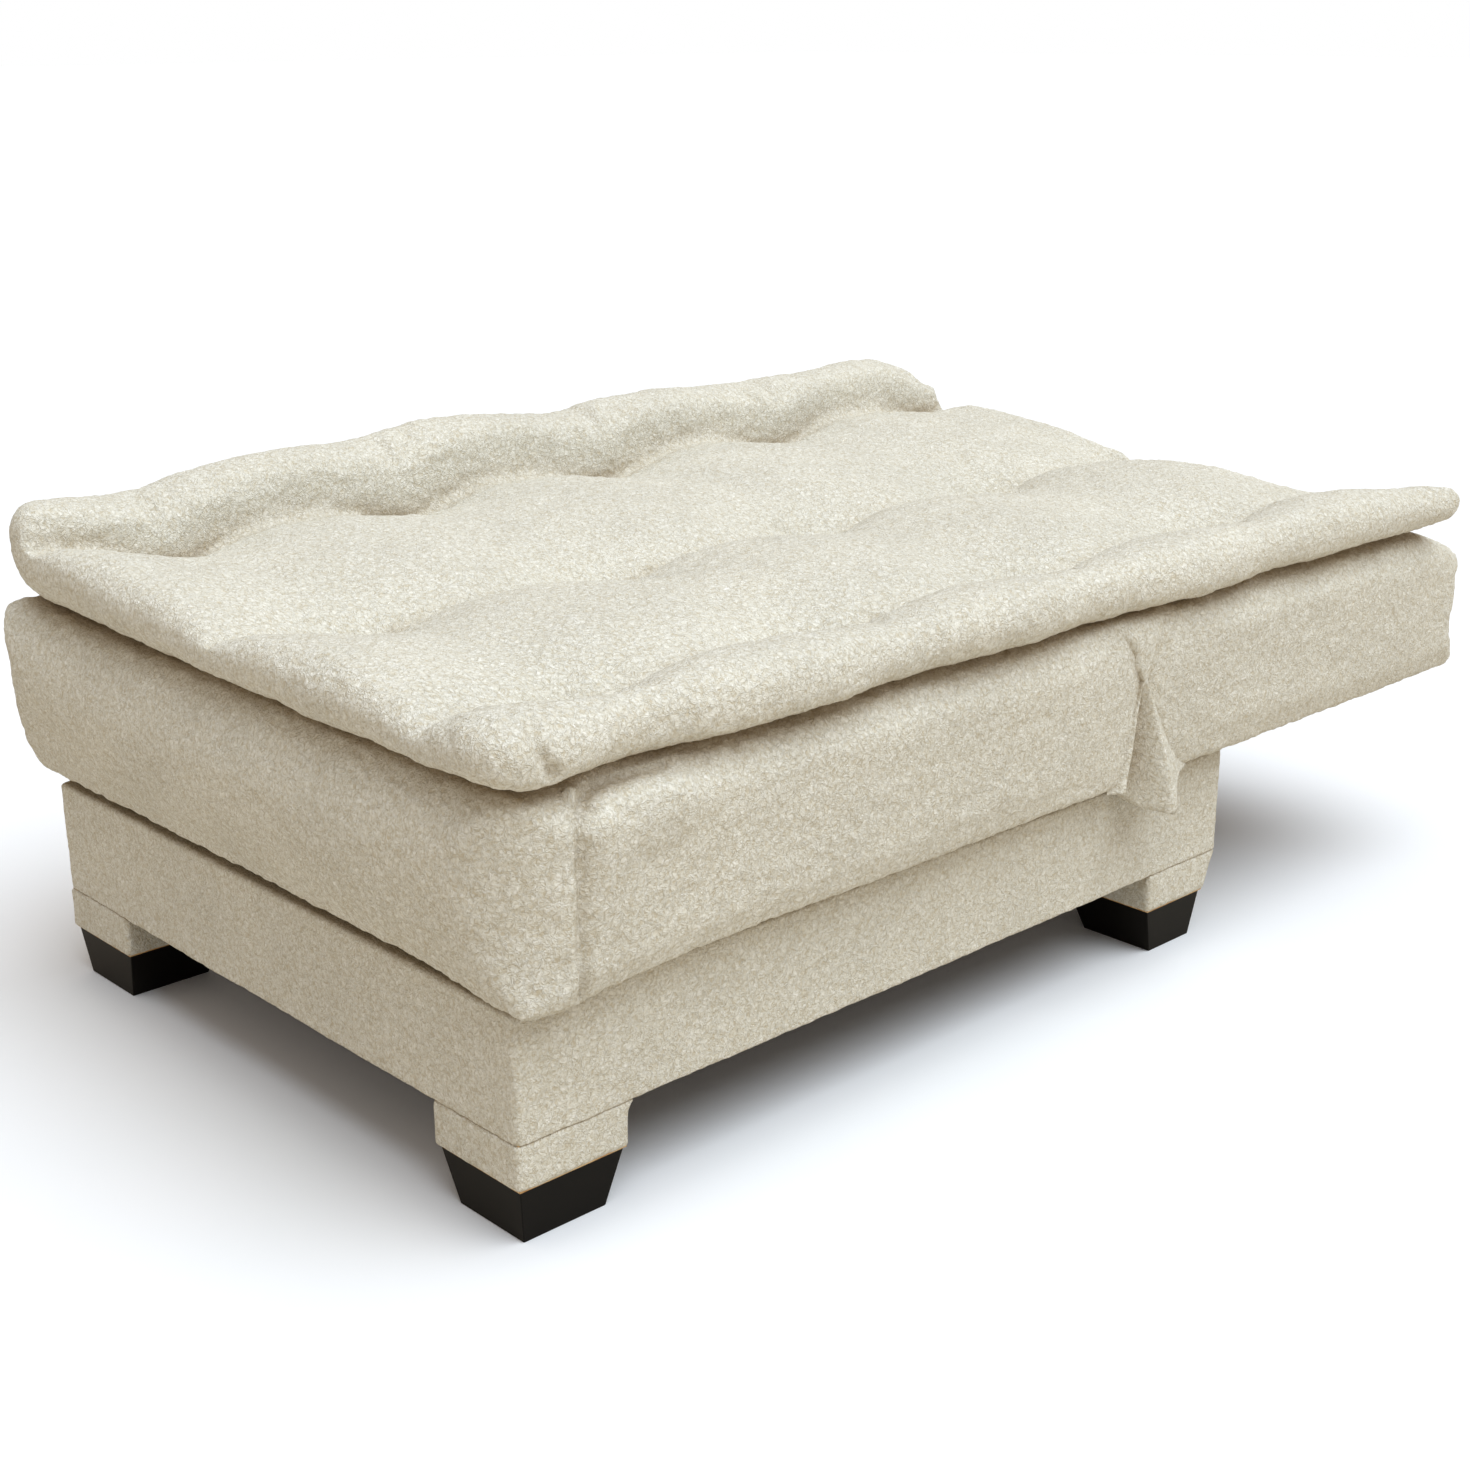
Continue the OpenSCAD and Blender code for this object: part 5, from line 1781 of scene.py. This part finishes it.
@dataclass
class HemStaples:
    """Upholsterer's staples along the hems of the undersides."""

    pitch: float = 32 * MM
    length: float = 11 * MM
    wire: float = 1.3 * MM
    inset: float = 9 * MM

    def around(self, node: str, below: float) -> list:
        """Draws a closed path inside the edges of a cloth.

        Args:
            node: the CAD node of the cloth.
            below: the path's height.

        Returns:
            The path's corners.
        """
        low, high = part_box(node)
        x0, x1, y0, y1 = low.x + self.inset, high.x - self.inset, low.y + self.inset, high.y - self.inset
        return [(x, y, below) for x, y in ((x0, y0), (x1, y0), (x1, y1), (x0, y1), (x0, y0))]

    def build(self, kit: Kit) -> None:
        """Lays the staples of the three undersides.

        Args:
            kit: the shared finishes and trees.
        """
        for body, node in (("base", "base_dust_cover"), ("seat", "seat_underside_cloth"),
                           ("back", "back_underside_cloth")):
            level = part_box(node)[0].z - 0.25 * MM
            piece = kit.stitches.lay(f"{body}_staples", [self.around(node, level)], self.pitch, self.length, self.wire,
                                     kit.staple_steel)
            dress(piece, body, ())


@dataclass
class Studio:
    """A plain pale floor, soft light from above and the camera."""

    eye: tuple[float, float, float] = (2.02458, -1.98274, 1.18637)
    ahead: tuple[float, float, float] = (-0.69403, 0.64775, -0.31422)
    roll: float = 0.31
    focal_px: float = 2158.12
    image_px: float = 1470.0
    sensor: float = 36.0
    sun_from: tuple[float, float, float] = (0.38, 0.10, 0.91)
    sun_width: float = 56.0
    sun_strength: float = 2.85
    sun_colour: str = "#f1f9ff"
    surround: float = 0.49
    sky: str = "#fff0e2"
    bounce: str = "#d5ccbd"
    floor_half: float = 60.0
    sight: float = 200.0

    def camera(self) -> None:
        """Makes the camera at the viewing angle that was worked out."""
        data = bpy.data.cameras.new("camera")
        data.sensor_fit = "HORIZONTAL"
        data.sensor_width = self.sensor
        data.lens = self.focal_px / self.image_px * self.sensor
        data.clip_end = self.sight
        camera = bpy.data.objects.new("camera", data)
        bpy.context.scene.collection.objects.link(camera)
        look = Vector(self.ahead).normalized()
        right = look.cross(Vector((0, 0, 1))).normalized()
        up = right.cross(look)
        turn = Matrix.Rotation(math.radians(self.roll), 3, look)
        right, up = turn @ right, turn @ up
        basis = Matrix((right, up, -look)).transposed().to_4x4()
        basis.translation = Vector(self.eye)
        camera.matrix_world = basis
        bpy.context.scene.camera = camera

    def floor(self) -> None:
        """Lays the floor, painted a matt white."""
        size = self.floor_half
        points = np.array([(-size, -size, 0), (size, -size, 0), (size, size, 0), (-size, size, 0)], float)
        floor = mesh_object("studio_floor", points, [(0, 1, 2, 3)])
        material = PlainFinish("matt_white_floor", "#f3f6fb", "#f1f5fa", 0.4, 0.1 * MM, 0.9).build()
        tree, surface = material.node_tree, material.node_tree.nodes["Principled BSDF"]
        # The floor is as white as a lit studio's, but sends back no more light than a floor that is grey further out.
        seen = add_node(tree, "ShaderNodeLightPath").outputs["Is Camera Ray"]
        shown = add_node(tree, "ShaderNodeMix", {"data_type": "RGBA"}, {
            "Factor": seen, 6: linear(self.bounce), 7: surface.inputs["Base Color"].links[0].from_socket}).outputs[2]
        tree.links.new(shown, surface.inputs["Base Color"])
        floor.data.materials.append(material)

    def light(self) -> None:
        """Hangs a broad soft sun and sets a pale surround."""
        data = bpy.data.lights.new("soft_sun", "SUN")
        data.energy = self.sun_strength
        data.color = linear(self.sun_colour)[:3]
        data.angle = math.radians(self.sun_width)
        sun = bpy.data.objects.new("soft_sun", data)
        sun.rotation_mode = "QUATERNION"
        sun.rotation_quaternion = Vector(self.sun_from).normalized().to_track_quat("Z", "Y")
        bpy.context.scene.collection.objects.link(sun)
        world = bpy.data.worlds.new("studio")
        world.use_nodes = True
        tree = world.node_tree
        tree.nodes.clear()
        seen = add_node(tree, "ShaderNodeLightPath").outputs["Is Camera Ray"]
        level = add_node(tree, "ShaderNodeMapRange",
                         inputs={"Value": seen, "To Min": self.surround, "To Max": 1.0}).outputs[0]
        shade = add_node(tree, "ShaderNodeMix", {"data_type": "RGBA"}, {
            "Factor": seen, 6: linear(self.sky), 7: linear("#ffffff")}).outputs[2]
        sky = add_node(tree, "ShaderNodeBackground", inputs={"Color": shade, "Strength": level}).outputs[0]
        add_node(tree, "ShaderNodeOutputWorld", inputs={"Surface": sky})
        bpy.context.scene.world = world
        bpy.context.scene.view_settings.view_transform = "Standard"

    def build(self) -> None:
        """Sets up the studio."""
        self.camera()
        self.floor()
        self.light()


def dress_frame() -> dict[str, bpy.types.Material]:
    """Gives every CAD node a finish.

    Returns:
        The finishes that other pieces share, by name.
    """
    # Zinc plate: bright, with a faint bluish mottle from the passivation.
    zinc = PlainFinish("zinc_plated_steel", "#b9bcc0", "#9a9fa8", 5 * MM, 0.05 * MM, 0.32, 1.0).build()
    # Hot-rolled plate, blackened: dark, and dull where the scale is rough.
    dark = PlainFinish("blackened_plate_steel", "#3a3a3d", "#55534f", 3 * MM, 0.1 * MM, 0.5, 1.0).build()
    # Tempered spring strip: blued and drawn, so its grain runs along it.
    spring = PlainFinish("blued_spring_steel", "#5c636e", "#7f858c", 2 * MM, 0.05 * MM, 0.28, 1.0,
                         (1.0, 0.1, 1.0)).build()
    # Open-cell polyurethane foam: pale yellow with pin-hole cells.
    foam = PlainFinish("polyurethane_foam", "#efe0aa", "#d9c685", 2 * MM, 0.8 * MM, 0.95).build()
    # Spun-bonded polypropylene: black, with a bonded speckle.
    felt = PlainFinish("spunbonded_cloth", "#151516", "#2c2c2e", 1.6 * MM, 0.3 * MM, 0.9).build()
    # Moulded ABS: black with a fine spark-eroded grain, drawn coarser than real so that it shows.
    plastic = PlainFinish("moulded_black_abs", "#040405", "#08080a", 1.2 * MM, 0.05 * MM, 0.42, shine=0.14).build()
    # Moulded rubber: near black, and quite matt.
    rubber = PlainFinish("moulded_rubber", "#1a1a19", "#252423", 2 * MM, 0.1 * MM, 0.75).build()
    band = WovenBand().build()
    pine_y = SawnPine("planed_pine_along", Axis.Y).build()
    pine_x = SawnPine("planed_pine_across", Axis.X).build()
    boucle = Boucle().build()
    by_slot = {"boucle_fabric": boucle, "pine": pine_y, "zinc_steel": zinc, "dark_steel": dark, "spring_steel": spring,
               "foam": foam, "elastic_webbing": band, "nonwoven": felt, "black_plastic": plastic, "rubber": rubber}
    across = {"base_end_rails", "base_slats", "seat_cross_rails", "back_cross_rails"}
    slots = {part["node"]: part["material_slot"] for part in frame["record"]["subparts"]}
    for name, node in frame["nodes"].items():
        finish = pine_x if name in across else by_slot[slots[name]]
        node.data.materials.clear()
        node.data.materials.append(finish)
    return {"boucle": boucle, "zinc": zinc, "plastic": plastic}


def main() -> None:
    """Builds the studio and then the bed, from the base up."""
    logging.basicConfig(level=logging.INFO, format="%(message)s")
    Studio().build()
    finishes = dress_frame()
    kit = Kit(finishes["boucle"], PileTree(), StitchTree(), finishes["zinc"], finishes["plastic"])
    BoxBase().build(kit)
    SeatBlock().build(kit)
    BackBlock().build(kit)
    Topper().build(kit)
    for side, name, node in ((1, "right_gusset", "gusset_right"), (-1, "left_gusset", "gusset_left")):
        SideGusset().build(kit, side, name, node)
    HemStaples().build(kit)


if __name__ == "__main__":
    main()
